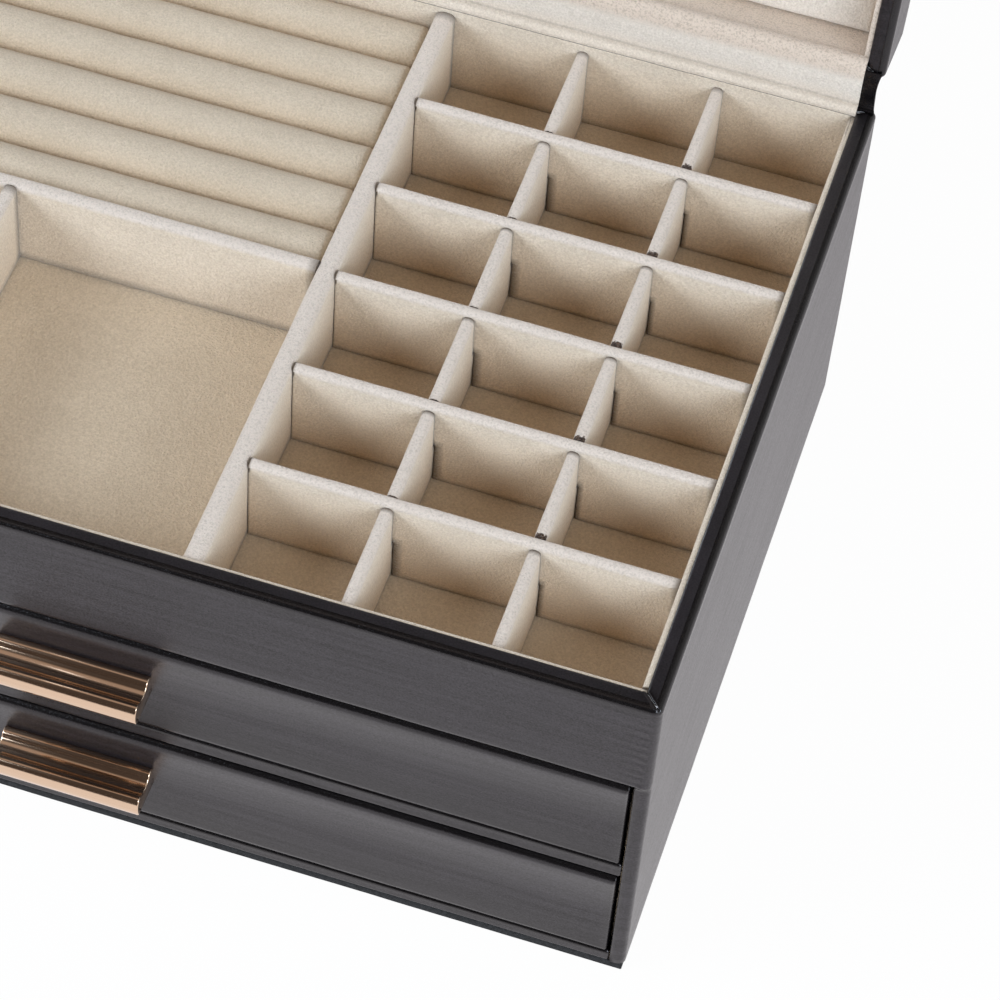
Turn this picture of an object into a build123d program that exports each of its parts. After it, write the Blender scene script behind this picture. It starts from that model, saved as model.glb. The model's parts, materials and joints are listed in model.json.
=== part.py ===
"""Leather jewellery box: a case with a divided velvet tray, two drawers and a fabric-hinged lid.

Millimetres. The origin is on the table under the middle of the case, +Z up, the drawers face -Y.
The box is drawn as it stands in use: lid open against its velvet hinge strip, drawers closed.
"""
import math
import os

from build123d import *

os.makedirs("parts", exist_ok=True)

# Outside of the case
case_width = 290.0
case_depth = 205.0
leather = 0.8
side_board = 3.2
front_board = 3.2
back_board = 2.0
corner_round = 2.2
rim_round = 1.2
rim_band = 5.1
back_rim_band = 3.1

# Levels of the case, from the table up
base_pad_thickness = 2.4
base_pad_inset = 1.2
base_thickness = 4.0
drawer_opening = 34.3
shelf_thickness = 5.1
deck_thickness = 2.2
floor_pad = 0.8
tray_depth = 29.2
rail_setback = 0.4
rail_round = 1.0

# Velvet lining and dividers of the tray
liner_card = 2.5
back_liner_card = 1.0
liner_round = 0.8
main_divider_card = 5.2
ring_divider_card = 4.0
compartment_divider_card = 3.2
main_divider_drop = 2.0
ring_divider_drop = 2.4
compartment_divider_drop = 2.4
compartment_depth = 97.0
divider_round = 1.2

# Grid of small cells, made of cards that cross in half laps
grid_columns = 3
grid_rows = 6
cell_width = 34.05
cell_depth = 29.05
row_card = 3.0
column_card = 3.0
row_drop = 2.0
column_drop = 3.2
lap_height = 13.0
lap_clearance = 0.2

# Ring rolls on their block
ring_roll_count = 6
ring_roll_height = 14.4
ring_roll_crest_drop = 5.0
ring_roll_foot = 8.0
ring_roll_waist = 7.4
ring_roll_gap = 0.1

# Lid and its hinge
lid_height = 25.3
lid_gap = 0.6
lid_open_angle = 105.0
hinge_behind = 3.9
hinge_above = 4.75
lid_top_board = 3.2
lid_round = 2.0
lid_pad_thickness = 7.3
lid_pad_round = 2.4
lid_pad_clearance = 0.2
mirror_margin = 18.0
mirror_thickness = 3.0
mirror_setback = 0.4
mirror_bevel = 1.0
mirror_clearance = 0.3
hinge_leather_inset = 1.4
hinge_leather_thickness = 0.8
hinge_leather_bulge = 0.2
hinge_velvet_thickness = 0.7
hinge_velvet_bulge = -0.7
hinge_end_clearance = 0.25

# Drawers
drawer_front_board = 4.5
drawer_front_round = 1.5
drawer_side_gap = 0.9
drawer_top_gap = 1.1
drawer_bottom_gap = 0.3
drawer_back_gap = 1.5
drawer_side_board = 3.0
drawer_side_height = 27.0
drawer_side_round = 1.2
drawer_back_board = 3.0
drawer_bottom_board = 2.0
drawer_pad = 0.8

# Cup pull of a drawer, measured forward from the drawer front and up from the pull's lower edge
pull_length = 39.5
pull_reach = 11.4
pull_height = 7.2
pull_wall = 1.5
pull_end_wall = 1.5
pull_bead_reach = 3.5
pull_bead_foot = 5.8
pull_valley_height = 5.0
pull_ridge_reach = 8.8
pull_shoulder_height = 6.0
pull_lip_top = 4.6
pull_rise = 16.0
screw_spacing = 28.0
screw_radius = 1.4
screw_hole_clearance = 0.1
screw_head_radius = 2.7
screw_head_height = 1.7
screw_grip = 6.0
boss_radius = 2.4
boss_height = 2.6
boss_reach = 7.0

# Levels and planes that the pieces share
base_top = base_pad_thickness + base_thickness
shelf_bottom = base_top + drawer_opening
shelf_top = shelf_bottom + shelf_thickness
deck_bottom = shelf_top + drawer_opening
deck_top = deck_bottom + deck_thickness
floor_top = deck_top + floor_pad
rim_top = floor_top + tray_depth
board_top = rim_top - leather

outer_x = case_width / 2
outer_y = case_depth / 2
board_x = outer_x - leather
board_y = outer_y - leather
inner_x = board_x - side_board
inner_back = board_y - back_board
inner_front = -board_y + front_board
tray_x = inner_x - liner_card
tray_front = inner_front + liner_card
tray_back = inner_back - back_liner_card
tray_middle = (tray_front + tray_back) / 2
board_round = corner_round - leather


def save(piece, name):
    """Label a finished piece and write it to its own file."""
    piece.part.label = name
    export_step(piece.part, f"parts/{name}.step")


# Pad that the box stands on
with BuildPart() as base_pad:
    with BuildSketch():
        RectangleRounded(
            case_width - 2 * base_pad_inset,
            case_depth - 2 * base_pad_inset,
            corner_round,
        )
    extrude(amount=base_pad_thickness)
save(base_pad, "base_pad")

# Floor of the case and shelf between the drawers, with rounded leather-covered front edges
for rail_name, rail_bottom, rail_thickness in (
    ("base_panel", base_pad_thickness, base_thickness),
    ("drawer_shelf", shelf_bottom, shelf_thickness),
):
    rail_front = -outer_y + rail_setback
    with BuildPart() as rail_panel:
        with BuildSketch(Plane.XY.offset(rail_bottom)):
            with Locations((0, (rail_front + inner_back) / 2)):
                Rectangle(2 * inner_x, inner_back - rail_front)
        extrude(amount=rail_thickness)
        front_edges = rail_panel.faces().sort_by(Axis.Y)[0].edges().filter_by(Axis.X)
        fillet(front_edges, rail_round)
    save(rail_panel, rail_name)

# Side boards
for side_name, side in (("left", -1), ("right", 1)):
    with BuildPart() as side_panel:
        with BuildSketch(Plane.XY.offset(base_pad_thickness)):
            with Locations((side * (inner_x + board_x) / 2, 0)):
                Rectangle(side_board, 2 * board_y)
        extrude(amount=board_top - base_pad_thickness)
        outer_face = side_panel.faces().sort_by(Axis.X)[0 if side < 0 else -1]
        fillet(outer_face.edges().filter_by(Axis.Z), board_round)
    save(side_panel, f"{side_name}_side_panel")

# Back board
with BuildPart() as back_panel:
    with BuildSketch(Plane.XY.offset(base_pad_thickness)):
        with Locations((0, (inner_back + board_y) / 2)):
            Rectangle(2 * inner_x, back_board)
    extrude(amount=board_top - base_pad_thickness)
save(back_panel, "back_panel")

# Fixed front board above the drawers
with BuildPart() as tray_front_panel:
    with BuildSketch(Plane.XY.offset(deck_bottom)):
        with Locations((0, (inner_front - board_y) / 2)):
            Rectangle(2 * inner_x, front_board)
    extrude(amount=board_top - deck_bottom)
save(tray_front_panel, "tray_front_panel")

# Deck that carries the tray and roofs the upper drawer
with BuildPart() as deck_panel:
    with BuildSketch(Plane.XY.offset(deck_bottom)):
        with Locations((0, (inner_front + inner_back) / 2)):
            Rectangle(2 * inner_x, inner_back - inner_front)
    extrude(amount=deck_thickness)
save(deck_panel, "deck_panel")

# Leather round the case, folded in over the rim and open in front of the drawers
with BuildPart() as case_leather:
    with BuildSketch(Plane.XY.offset(base_pad_thickness)):
        RectangleRounded(case_width, case_depth, corner_round)
    extrude(amount=rim_top - base_pad_thickness)
    fillet(case_leather.faces().sort_by(Axis.Z)[-1].edges(), rim_round)
    with BuildSketch(Plane.XY.offset(base_pad_thickness)):
        RectangleRounded(2 * board_x, 2 * board_y, board_round)
    extrude(amount=board_top - base_pad_thickness, mode=Mode.SUBTRACT)
    with BuildSketch(Plane.XY.offset(board_top)):
        with Locations((0, (rim_band - back_rim_band) / 2)):
            Rectangle(case_width - 2 * rim_band, case_depth - rim_band - back_rim_band)
    extrude(amount=leather, mode=Mode.SUBTRACT)
    with BuildSketch(Plane.XZ.offset(board_y)):
        with Locations((0, (base_pad_thickness + deck_bottom) / 2)):
            Rectangle(2 * inner_x, deck_bottom - base_pad_thickness)
    extrude(amount=leather, mode=Mode.SUBTRACT)
save(case_leather, "case_leather")

# Velvet-covered cards round the tray, with a soft inner top edge
for card_name, card_y, card, inner_face in (
    ("front", (inner_front + tray_front) / 2, liner_card, -1),
    ("back", (inner_back + tray_back) / 2, back_liner_card, 0),
):
    with BuildPart() as liner:
        with BuildSketch(Plane.XY.offset(deck_top)):
            with Locations((0, card_y)):
                Rectangle(2 * inner_x, card)
        extrude(amount=board_top - deck_top)
        top_edges = liner.faces().sort_by(Axis.Z)[-1].edges().filter_by(Axis.X)
        fillet(top_edges.sort_by(Axis.Y)[inner_face], liner_round)
    save(liner, f"tray_liner_{card_name}")

for side_name, side in (("left", -1), ("right", 1)):
    with BuildPart() as side_liner:
        with BuildSketch(Plane.XY.offset(deck_top)):
            with Locations((side * (inner_x + tray_x) / 2, tray_middle)):
                Rectangle(liner_card, tray_back - tray_front)
        extrude(amount=board_top - deck_top)
        top_edges = side_liner.faces().sort_by(Axis.Z)[-1].edges().filter_by(Axis.Y)
        fillet(top_edges.sort_by(Axis.X)[-1 if side < 0 else 0], liner_round)
    save(side_liner, f"tray_liner_{side_name}")

# Velvet floor of the tray
with BuildPart() as tray_floor_pad:
    with BuildSketch(Plane.XY.offset(deck_top)):
        with Locations((0, tray_middle)):
            Rectangle(2 * tray_x, tray_back - tray_front)
    extrude(amount=floor_pad)
save(tray_floor_pad, "tray_floor_pad")

# Main divider from front to back, between the ring half and the grid
main_right = tray_x - grid_columns * cell_width - (grid_columns - 1) * column_card
main_left = main_right - main_divider_card
with BuildPart() as main_divider:
    with BuildSketch(Plane.XY.offset(floor_top)):
        with Locations(((main_left + main_right) / 2, tray_middle)):
            Rectangle(main_divider_card, tray_back - tray_front)
    extrude(amount=tray_depth - main_divider_drop)
    fillet(main_divider.faces().sort_by(Axis.Z)[-1].edges().filter_by(Axis.Y), divider_round)
save(main_divider, "main_divider")

# Divider in front of the ring rolls
ring_divider_front = tray_front + compartment_depth
ring_bay_front = ring_divider_front + ring_divider_card
left_middle = (main_left - tray_x) / 2
left_width = main_left + tray_x
with BuildPart() as ring_divider:
    with BuildSketch(Plane.XY.offset(floor_top)):
        with Locations((left_middle, (ring_divider_front + ring_bay_front) / 2)):
            Rectangle(left_width, ring_divider_card)
    extrude(amount=tray_depth - ring_divider_drop)
    fillet(ring_divider.faces().sort_by(Axis.Z)[-1].edges().filter_by(Axis.X), divider_round)
save(ring_divider, "ring_divider")

# Divider between the two front compartments
with BuildPart() as compartment_divider:
    with BuildSketch(Plane.XY.offset(floor_top)):
        with Locations((left_middle, (tray_front + ring_divider_front) / 2)):
            Rectangle(compartment_divider_card, compartment_depth)
    extrude(amount=tray_depth - compartment_divider_drop)
    fillet(compartment_divider.faces().sort_by(Axis.Z)[-1].edges().filter_by(Axis.Y), divider_round)
save(compartment_divider, "compartment_divider")

# Row dividers: each is slotted from below where it sits over the column dividers
row_pitch = cell_depth + row_card
row_places = [tray_middle + (i - (grid_rows - 2) / 2) * row_pitch for i in range(grid_rows - 1)]
column_pitch = cell_width + column_card
column_places = [
    main_right + (i + 1) * column_pitch - column_card / 2 for i in range(grid_columns - 1)
]
lap_top = floor_top + lap_height
for number, row_y in enumerate(row_places, start=1):
    with BuildPart() as row_divider:
        with BuildSketch(Plane.XZ.offset(-row_y - row_card / 2)):
            with Locations(((main_right + tray_x) / 2, floor_top)):
                Rectangle(
                    tray_x - main_right,
                    tray_depth - row_drop,
                    align=(Align.CENTER, Align.MIN),
                )
            with Locations(*[(column_x, floor_top) for column_x in column_places]):
                Rectangle(
                    column_card + 2 * lap_clearance,
                    lap_height + lap_clearance,
                    align=(Align.CENTER, Align.MIN),
                    mode=Mode.SUBTRACT,
                )
        extrude(amount=row_card)
        fillet(row_divider.faces().sort_by(Axis.Z)[-1].edges().filter_by(Axis.X), divider_round)
    save(row_divider, f"row_divider_{number}")

# Column dividers: each is slotted from above to take the row dividers
column_top = rim_top - column_drop
for number, column_x in enumerate(column_places, start=1):
    with BuildPart() as column_divider:
        with BuildSketch(Plane.YZ.offset(column_x - column_card / 2)):
            with Locations((tray_middle, floor_top)):
                Rectangle(
                    tray_back - tray_front,
                    column_top - floor_top,
                    align=(Align.CENTER, Align.MIN),
                )
            with Locations(*[(row_y, column_top) for row_y in row_places]):
                Rectangle(
                    row_card + 2 * lap_clearance,
                    column_top - lap_top,
                    align=(Align.CENTER, Align.MAX),
                    mode=Mode.SUBTRACT,
                )
        extrude(amount=column_card)
        crown = column_divider.faces().group_by(Axis.Z)[-1].edges().filter_by(Axis.Y)
        fillet(crown, divider_round)
    save(column_divider, f"column_divider_{number}")

# Block under the ring rolls
ring_roll_foot_level = rim_top - ring_roll_crest_drop - ring_roll_height
with BuildPart() as ring_roll_base:
    with BuildSketch(Plane.XY.offset(floor_top)):
        with Locations((left_middle, (ring_bay_front + tray_back) / 2)):
            Rectangle(left_width, tray_back - ring_bay_front)
    extrude(amount=ring_roll_foot_level - floor_top)
save(ring_roll_base, "ring_roll_base")

# Ring rolls: drawn in at the foot, fullest at the waist, crowned on top
ring_roll_pitch = (tray_back - ring_bay_front) / ring_roll_count
for number in range(1, ring_roll_count + 1):
    roll_y = ring_bay_front + (number - 0.5) * ring_roll_pitch
    half_width = (ring_roll_pitch - ring_roll_gap) / 2
    half_foot = ring_roll_foot / 2
    roll_end = Plane(origin=(-tray_x, roll_y, ring_roll_foot_level), x_dir=(0, 1, 0), z_dir=(1, 0, 0))
    with BuildPart() as ring_roll:
        with BuildSketch(roll_end):
            with BuildLine():
                Line((-half_foot, 0), (half_foot, 0))
                TangentArc((half_width, ring_roll_waist), (half_foot, 0), tangent=(0, -1))
                ThreePointArc(
                    (half_width, ring_roll_waist),
                    (0, ring_roll_height),
                    (-half_width, ring_roll_waist),
                )
                TangentArc((-half_width, ring_roll_waist), (-half_foot, 0), tangent=(0, -1))
            make_face()
        extrude(amount=left_width)
    save(ring_roll, f"ring_roll_{number}")

# Frame of the open lid: as if the lid were shut, then swung about its hinge axis
hinge_y = outer_y + hinge_behind
hinge_z = rim_top + hinge_above
swing = math.radians(lid_open_angle)
lid_plane = Plane(
    origin=(0, hinge_y, hinge_z),
    x_dir=(1, 0, 0),
    z_dir=(0, math.sin(swing), math.cos(swing)),
)
lid_up = Axis(lid_plane.origin, lid_plane.z_dir)
lid_bottom = rim_top + lid_gap - hinge_z
lid_top = lid_bottom + lid_height
lid_board_bottom = lid_bottom + leather
lid_board_top = lid_top - leather
lid_ceiling = lid_board_top - lid_top_board
lid_middle = -hinge_y

# Leather of the lid: a cap with its edge folded in over the rim
with BuildPart() as lid_leather:
    with BuildSketch(lid_plane.offset(lid_bottom)):
        with Locations((0, lid_middle)):
            RectangleRounded(case_width, case_depth, corner_round)
    extrude(amount=lid_height)
    fillet(lid_leather.faces().sort_by(lid_up)[-1].edges(), lid_round)
    fillet(lid_leather.faces().sort_by(lid_up)[0].edges(), rim_round)
    with BuildSketch(lid_plane.offset(lid_board_bottom)):
        with Locations((0, lid_middle)):
            RectangleRounded(2 * board_x, 2 * board_y, board_round)
    extrude(amount=lid_board_top - lid_board_bottom, mode=Mode.SUBTRACT)
    with BuildSketch(lid_plane.offset(lid_bottom)):
        with Locations((0, lid_middle + (rim_band - back_rim_band) / 2)):
            Rectangle(case_width - 2 * rim_band, case_depth - rim_band - back_rim_band)
    extrude(amount=leather, mode=Mode.SUBTRACT)
save(lid_leather, "lid_leather")

# Boards of the lid
with BuildPart() as lid_top_panel:
    with BuildSketch(lid_plane.offset(lid_ceiling)):
        with Locations((0, lid_middle)):
            RectangleRounded(2 * board_x, 2 * board_y, board_round)
    extrude(amount=lid_top_board)
    fillet(lid_top_panel.faces().sort_by(lid_up)[-1].edges(), lid_round - leather)
save(lid_top_panel, "lid_top_panel")

for side_name, side in (("left", -1), ("right", 1)):
    with BuildPart() as lid_side_wall:
        with BuildSketch(lid_plane.offset(lid_board_bottom)):
            with Locations((side * (inner_x + board_x) / 2, lid_middle)):
                Rectangle(side_board, 2 * board_y)
        extrude(amount=lid_ceiling - lid_board_bottom)
        outer_face = lid_side_wall.faces().sort_by(Axis.X)[0 if side < 0 else -1]
        fillet(outer_face.edges().filter_by(lid_up), board_round)
    save(lid_side_wall, f"lid_{side_name}_wall")

for wall_name, wall_front, wall_back in (
    ("front", -board_y, inner_front),
    ("back", inner_back, board_y),
):
    with BuildPart() as lid_wall:
        with BuildSketch(lid_plane.offset(lid_board_bottom)):
            with Locations((0, lid_middle + (wall_front + wall_back) / 2)):
                Rectangle(2 * inner_x, wall_back - wall_front)
        extrude(amount=lid_ceiling - lid_board_bottom)
    save(lid_wall, f"lid_{wall_name}_wall")

# Velvet card frame that lines the lid's walls
with BuildPart() as lid_liner:
    with BuildSketch(lid_plane.offset(lid_board_bottom)):
        with Locations((0, lid_middle + (inner_front + inner_back) / 2)):
            Rectangle(2 * inner_x, inner_back - inner_front)
        with Locations((0, lid_middle + tray_middle)):
            Rectangle(2 * tray_x, tray_back - tray_front, mode=Mode.SUBTRACT)
    extrude(amount=lid_ceiling - lid_board_bottom)
save(lid_liner, "lid_liner")

# Padded velvet inner panel of the lid, with a pocket for the mirror
pad_width = 2 * (tray_x - lid_pad_clearance)
pad_depth = tray_back - tray_front - 2 * lid_pad_clearance
mirror_width = pad_width - 2 * mirror_margin
mirror_depth = pad_depth - 2 * mirror_margin
lid_pad_face = lid_ceiling - lid_pad_thickness
mirror_face = lid_pad_face + mirror_setback
with BuildPart() as lid_pad:
    with BuildSketch(lid_plane.offset(lid_pad_face)):
        with Locations((0, lid_middle + tray_middle)):
            Rectangle(pad_width, pad_depth)
    extrude(amount=lid_pad_thickness)
    fillet(lid_pad.faces().sort_by(lid_up)[0].edges(), lid_pad_round)
    with BuildSketch(lid_plane.offset(lid_pad_face)):
        with Locations((0, lid_middle + tray_middle)):
            Rectangle(mirror_width + 2 * mirror_clearance, mirror_depth + 2 * mirror_clearance)
    extrude(amount=mirror_setback + mirror_thickness, mode=Mode.SUBTRACT)
save(lid_pad, "lid_pad")

# Bevelled mirror in the pocket
with BuildPart() as lid_mirror:
    with BuildSketch(lid_plane.offset(mirror_face)):
        with Locations((0, lid_middle + tray_middle)):
            Rectangle(mirror_width, mirror_depth)
    extrude(amount=mirror_thickness)
    chamfer(lid_mirror.faces().sort_by(lid_up)[0].edges(), mirror_bevel)
save(lid_mirror, "lid_mirror")


def on_lid(y, level):
    """Side-view place (y, z) of a point of the open lid, given where it is on the shut lid."""
    place = lid_plane.from_local_coords(Vector(0, y - hinge_y, level))
    return place.Y, place.Z


def side_view_strip(foot, head, thickness, bulge):
    """Side-view outline of a strip from foot to head that bows backwards by bulge."""
    run_y = head[0] - foot[0]
    run_z = head[1] - foot[1]
    run = math.hypot(run_y, run_z)
    across = (run_z / run, -run_y / run)
    middle = ((foot[0] + head[0]) / 2, (foot[1] + head[1]) / 2)

    def shifted(point, distance):
        return point[0] + across[0] * distance, point[1] + across[1] * distance

    half = thickness / 2
    inner = ThreePointArc(shifted(foot, -half), shifted(middle, bulge - half), shifted(head, -half))
    outer = ThreePointArc(shifted(head, half), shifted(middle, bulge + half), shifted(foot, half))
    foot_end = Line(outer @ 1, inner @ 0)
    head_end = Line(inner @ 1, outer @ 0)
    return inner, head_end, outer, foot_end


# Leather hinge strip from the case's back rim to the lid's back rim
leather_line = outer_y - back_rim_band / 2
leather_head_level = lid_bottom - hinge_leather_thickness / 2 - hinge_end_clearance
hinge_leather_width = case_width - 2 * hinge_leather_inset
with BuildPart() as hinge_leather:
    with BuildSketch(Plane.YZ.offset(-hinge_leather_width / 2)):
        with BuildLine():
            outline = side_view_strip(
                (leather_line, rim_top + hinge_leather_thickness / 2),
                on_lid(leather_line, leather_head_level),
                hinge_leather_thickness,
                hinge_leather_bulge,
            )
            add(outline)
        make_face()
    extrude(amount=hinge_leather_width)
save(hinge_leather, "hinge_leather")

# Velvet hinge strip inside it, pulled straight by the open lid
hinge_velvet_width = 2 * (outer_x - rim_band)
velvet_line = outer_y - back_rim_band - back_liner_card / 2
velvet_head_level = leather_head_level - hinge_leather_thickness / 2 - hinge_velvet_thickness
with BuildPart() as hinge_velvet:
    with BuildSketch(Plane.YZ.offset(-hinge_velvet_width / 2)):
        with BuildLine():
            outline = side_view_strip(
                (velvet_line, rim_top),
                on_lid(velvet_line, velvet_head_level),
                hinge_velvet_thickness,
                hinge_velvet_bulge,
            )
            add(outline)
        make_face()
    extrude(amount=hinge_velvet_width)
save(hinge_velvet, "hinge_velvet")

# Drawers, one above the other
drawer_x = inner_x - drawer_side_gap
drawer_front_back = -outer_y + drawer_front_board
drawer_end = inner_back - drawer_back_gap
drawer_box_middle = (drawer_front_back + drawer_end) / 2
drawer_inner_x = drawer_x - drawer_side_board
drawer_back_face = drawer_end - drawer_back_board
screw_hole_radius = screw_radius + screw_hole_clearance
for drawer_name, opening_bottom in (("lower", base_top), ("upper", shelf_top)):
    drawer_bottom = opening_bottom + drawer_bottom_gap
    pull_bottom = drawer_bottom + pull_rise
    screw_level = pull_bottom + boss_height

    # Leather-covered front with rounded edges and holes for the pull's screws
    with BuildPart() as drawer_front:
        with BuildSketch(Plane.XZ.offset(-drawer_front_back)):
            with Locations((0, drawer_bottom)):
                Rectangle(
                    2 * drawer_x,
                    drawer_opening - drawer_bottom_gap - drawer_top_gap,
                    align=(Align.CENTER, Align.MIN),
                )
            with Locations((0, screw_level)):
                with GridLocations(screw_spacing, 0, 2, 1):
                    Circle(screw_hole_radius, mode=Mode.SUBTRACT)
        extrude(amount=drawer_front_board)
        front_rim = drawer_front.faces().sort_by(Axis.Y)[0].outer_wire().edges()
        fillet(front_rim, drawer_front_round)
    save(drawer_front, f"{drawer_name}_drawer_front")

    # Side boards with rounded top edges
    for side_name, side in (("left", -1), ("right", 1)):
        with BuildPart() as drawer_side:
            with BuildSketch(Plane.XY.offset(drawer_bottom)):
                with Locations((side * (drawer_inner_x + drawer_x) / 2, drawer_box_middle)):
                    Rectangle(drawer_side_board, drawer_end - drawer_front_back)
            extrude(amount=drawer_side_height)
            crown = drawer_side.faces().sort_by(Axis.Z)[-1].edges().filter_by(Axis.Y)
            fillet(crown, drawer_side_round)
        save(drawer_side, f"{drawer_name}_drawer_{side_name}")

    # Back board between the sides
    with BuildPart() as drawer_back:
        with BuildSketch(Plane.XY.offset(drawer_bottom)):
            with Locations((0, (drawer_back_face + drawer_end) / 2)):
                Rectangle(2 * drawer_inner_x, drawer_back_board)
        extrude(amount=drawer_side_height)
        crown = drawer_back.faces().sort_by(Axis.Z)[-1].edges().filter_by(Axis.X)
        fillet(crown, drawer_side_round)
    save(drawer_back, f"{drawer_name}_drawer_back")

    # Bottom board and the velvet pad on it
    floor_middle = (drawer_front_back + drawer_back_face) / 2
    for layer_name, layer_bottom, layer in (
        ("bottom", drawer_bottom, drawer_bottom_board),
        ("pad", drawer_bottom + drawer_bottom_board, drawer_pad),
    ):
        with BuildPart() as drawer_layer:
            with BuildSketch(Plane.XY.offset(layer_bottom)):
                with Locations((0, floor_middle)):
                    Rectangle(2 * drawer_inner_x, drawer_back_face - drawer_front_back)
            extrude(amount=layer)
        save(drawer_layer, f"{drawer_name}_drawer_{layer_name}")

    # Cup pull: a bead at the back, a valley, a ridge and a lip, closed at both ends
    pull_plane = Plane(
        origin=(-pull_length / 2, -outer_y, pull_bottom),
        x_dir=(0, -1, 0),
        z_dir=(-1, 0, 0),
    )
    with BuildPart() as pull:
        with BuildSketch(pull_plane):
            with BuildLine():
                back = Line((0, 0), (0, pull_bead_foot))
                bead = ThreePointArc(
                    back @ 1,
                    (pull_bead_reach / 2, pull_height),
                    (pull_bead_reach, pull_shoulder_height),
                )
                valley = ThreePointArc(
                    bead @ 1,
                    ((pull_bead_reach + pull_ridge_reach) / 2, pull_valley_height),
                    (pull_ridge_reach, pull_shoulder_height),
                )
                ridge = TangentArc(valley @ 1, (pull_reach, pull_lip_top), tangent=valley % 1)
                lip = TangentArc(ridge @ 1, (pull_reach - pull_wall / 2, 0), tangent=ridge % 1)
                Line(lip @ 1, back @ 0)
            make_face()
        extrude(amount=-pull_length)
        with BuildSketch(pull_plane.offset(-pull_end_wall)):
            with BuildLine():
                roof = pull_valley_height - pull_wall
                mouth = pull_reach - pull_wall
                Polyline(
                    (0, 0),
                    (0, roof),
                    (mouth - pull_wall, roof),
                    (mouth - pull_wall / 2, 0),
                    close=True,
                )
            make_face()
        extrude(amount=-(pull_length - 2 * pull_end_wall), mode=Mode.SUBTRACT)
        with BuildSketch(Plane.XZ.offset(outer_y)):
            with Locations((0, screw_level)):
                with GridLocations(screw_spacing, 0, 2, 1):
                    Circle(boss_radius)
        extrude(amount=boss_reach)
        with BuildSketch(Plane.XZ.offset(outer_y)):
            with Locations((0, screw_level)):
                with GridLocations(screw_spacing, 0, 2, 1):
                    Circle(screw_hole_radius)
        extrude(amount=screw_grip, mode=Mode.SUBTRACT)
    save(pull, f"{drawer_name}_drawer_handle")

    # Two pan-head screws, from inside the drawer into the pull
    screw_length = drawer_front_board + screw_grip - screw_hole_clearance
    with BuildPart() as pull_screws:
        with BuildSketch(Plane.XZ.offset(-drawer_front_back)):
            with Locations((0, screw_level)):
                with GridLocations(screw_spacing, 0, 2, 1):
                    Circle(screw_radius)
        extrude(amount=screw_length)
        with BuildSketch(Plane.XZ.offset(-drawer_front_back)):
            with Locations((0, screw_level)):
                with GridLocations(screw_spacing, 0, 2, 1):
                    Circle(screw_head_radius)
        extrude(amount=-screw_head_height)
        heads = pull_screws.faces().sort_by(Axis.Y)[-2:]
        fillet(heads.edges(), screw_head_height / 2)
    save(pull_screws, f"{drawer_name}_handle_screws")

print("rim height", rim_top, "hinge axis", hinge_y, hinge_z, "main divider", main_left, main_right)
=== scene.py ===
import json
import math

import bmesh
import bpy
import numpy as np
from mathutils import Matrix, Vector, noise


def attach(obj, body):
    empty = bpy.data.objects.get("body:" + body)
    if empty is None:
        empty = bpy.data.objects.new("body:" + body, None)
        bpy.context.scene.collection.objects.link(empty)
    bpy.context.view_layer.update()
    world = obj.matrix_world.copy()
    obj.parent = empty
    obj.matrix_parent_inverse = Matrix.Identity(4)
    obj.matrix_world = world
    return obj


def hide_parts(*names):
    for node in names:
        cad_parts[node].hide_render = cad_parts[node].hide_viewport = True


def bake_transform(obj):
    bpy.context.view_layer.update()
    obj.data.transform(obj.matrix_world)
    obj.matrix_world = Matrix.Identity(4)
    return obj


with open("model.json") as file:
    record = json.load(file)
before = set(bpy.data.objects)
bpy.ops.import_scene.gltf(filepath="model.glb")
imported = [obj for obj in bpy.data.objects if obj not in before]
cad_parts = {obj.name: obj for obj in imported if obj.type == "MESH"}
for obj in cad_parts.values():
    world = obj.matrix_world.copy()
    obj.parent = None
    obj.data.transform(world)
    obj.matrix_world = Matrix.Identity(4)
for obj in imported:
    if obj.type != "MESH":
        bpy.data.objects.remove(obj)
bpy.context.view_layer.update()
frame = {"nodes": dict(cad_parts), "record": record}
nodes = frame["nodes"]
mm = 0.001

# Sizes of the box in millimetres, the same as in the part's source
half_width, half_depth = 145.0, 102.5
standing_pad_top, base_top, shelf_bottom, shelf_top, deck_bottom = 2.4, 6.4, 40.7, 45.8, 80.1
deck_top, floor_top, rim_top, lining_top = 82.3, 83.1, 112.3, 111.5
opening_half, side_card, back_card = 141.0, 2.5, 1.0
tray_half, tray_front, tray_back = 138.5, -96.0, 98.7
tray_middle = (tray_front + tray_back) / 2
rim_band, back_rim_band, corner_round, leather_thickness = 5.1, 3.1, 2.2, 0.7
main_left, main_right, main_top = 25.15, 30.35, 110.3
ring_front, ring_back, ring_top = 1.0, 5.0, 109.9
compartment_middle, compartment_card = -56.675, 3.2
row_places = [-62.75 + 32.05 * i for i in range(5)]
column_places = [65.9, 102.95]
row_top, column_top, lap_top, divider_card = 110.3, 109.1, 96.1, 3.0
roll_count, roll_pitch, roll_foot_level = 6, 15.6167, 92.9
roll_half_width, roll_waist, roll_height, roll_end_round, roll_end_play = 7.79, 7.4, 14.4, 2.2, 0.2
hinge_y, hinge_z, lid_swing = 106.4, 117.05, math.radians(105.0)
lid_rim, lid_height, lid_ceiling = 112.9, 25.3, 134.2
mirror_half_x, mirror_half_y, lid_pad_middle_level = 120.3, 79.15, 130.55
drawers = (("lower", 6.7, 39.6), ("upper", 46.1, 79.0))
drawer_side_x, drawer_side_front, drawer_side_back = 138.6, -98.0, 98.2
drawer_wall, drawer_wall_height, drawer_bottom_board, velvet_pad = 3.0, 27.0, 2.0, 0.8
pull_rise, pull_half, screw_x, screw_y, screw_rise = 16.0, 19.75, 14.0, -97.15, 2.6


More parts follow.
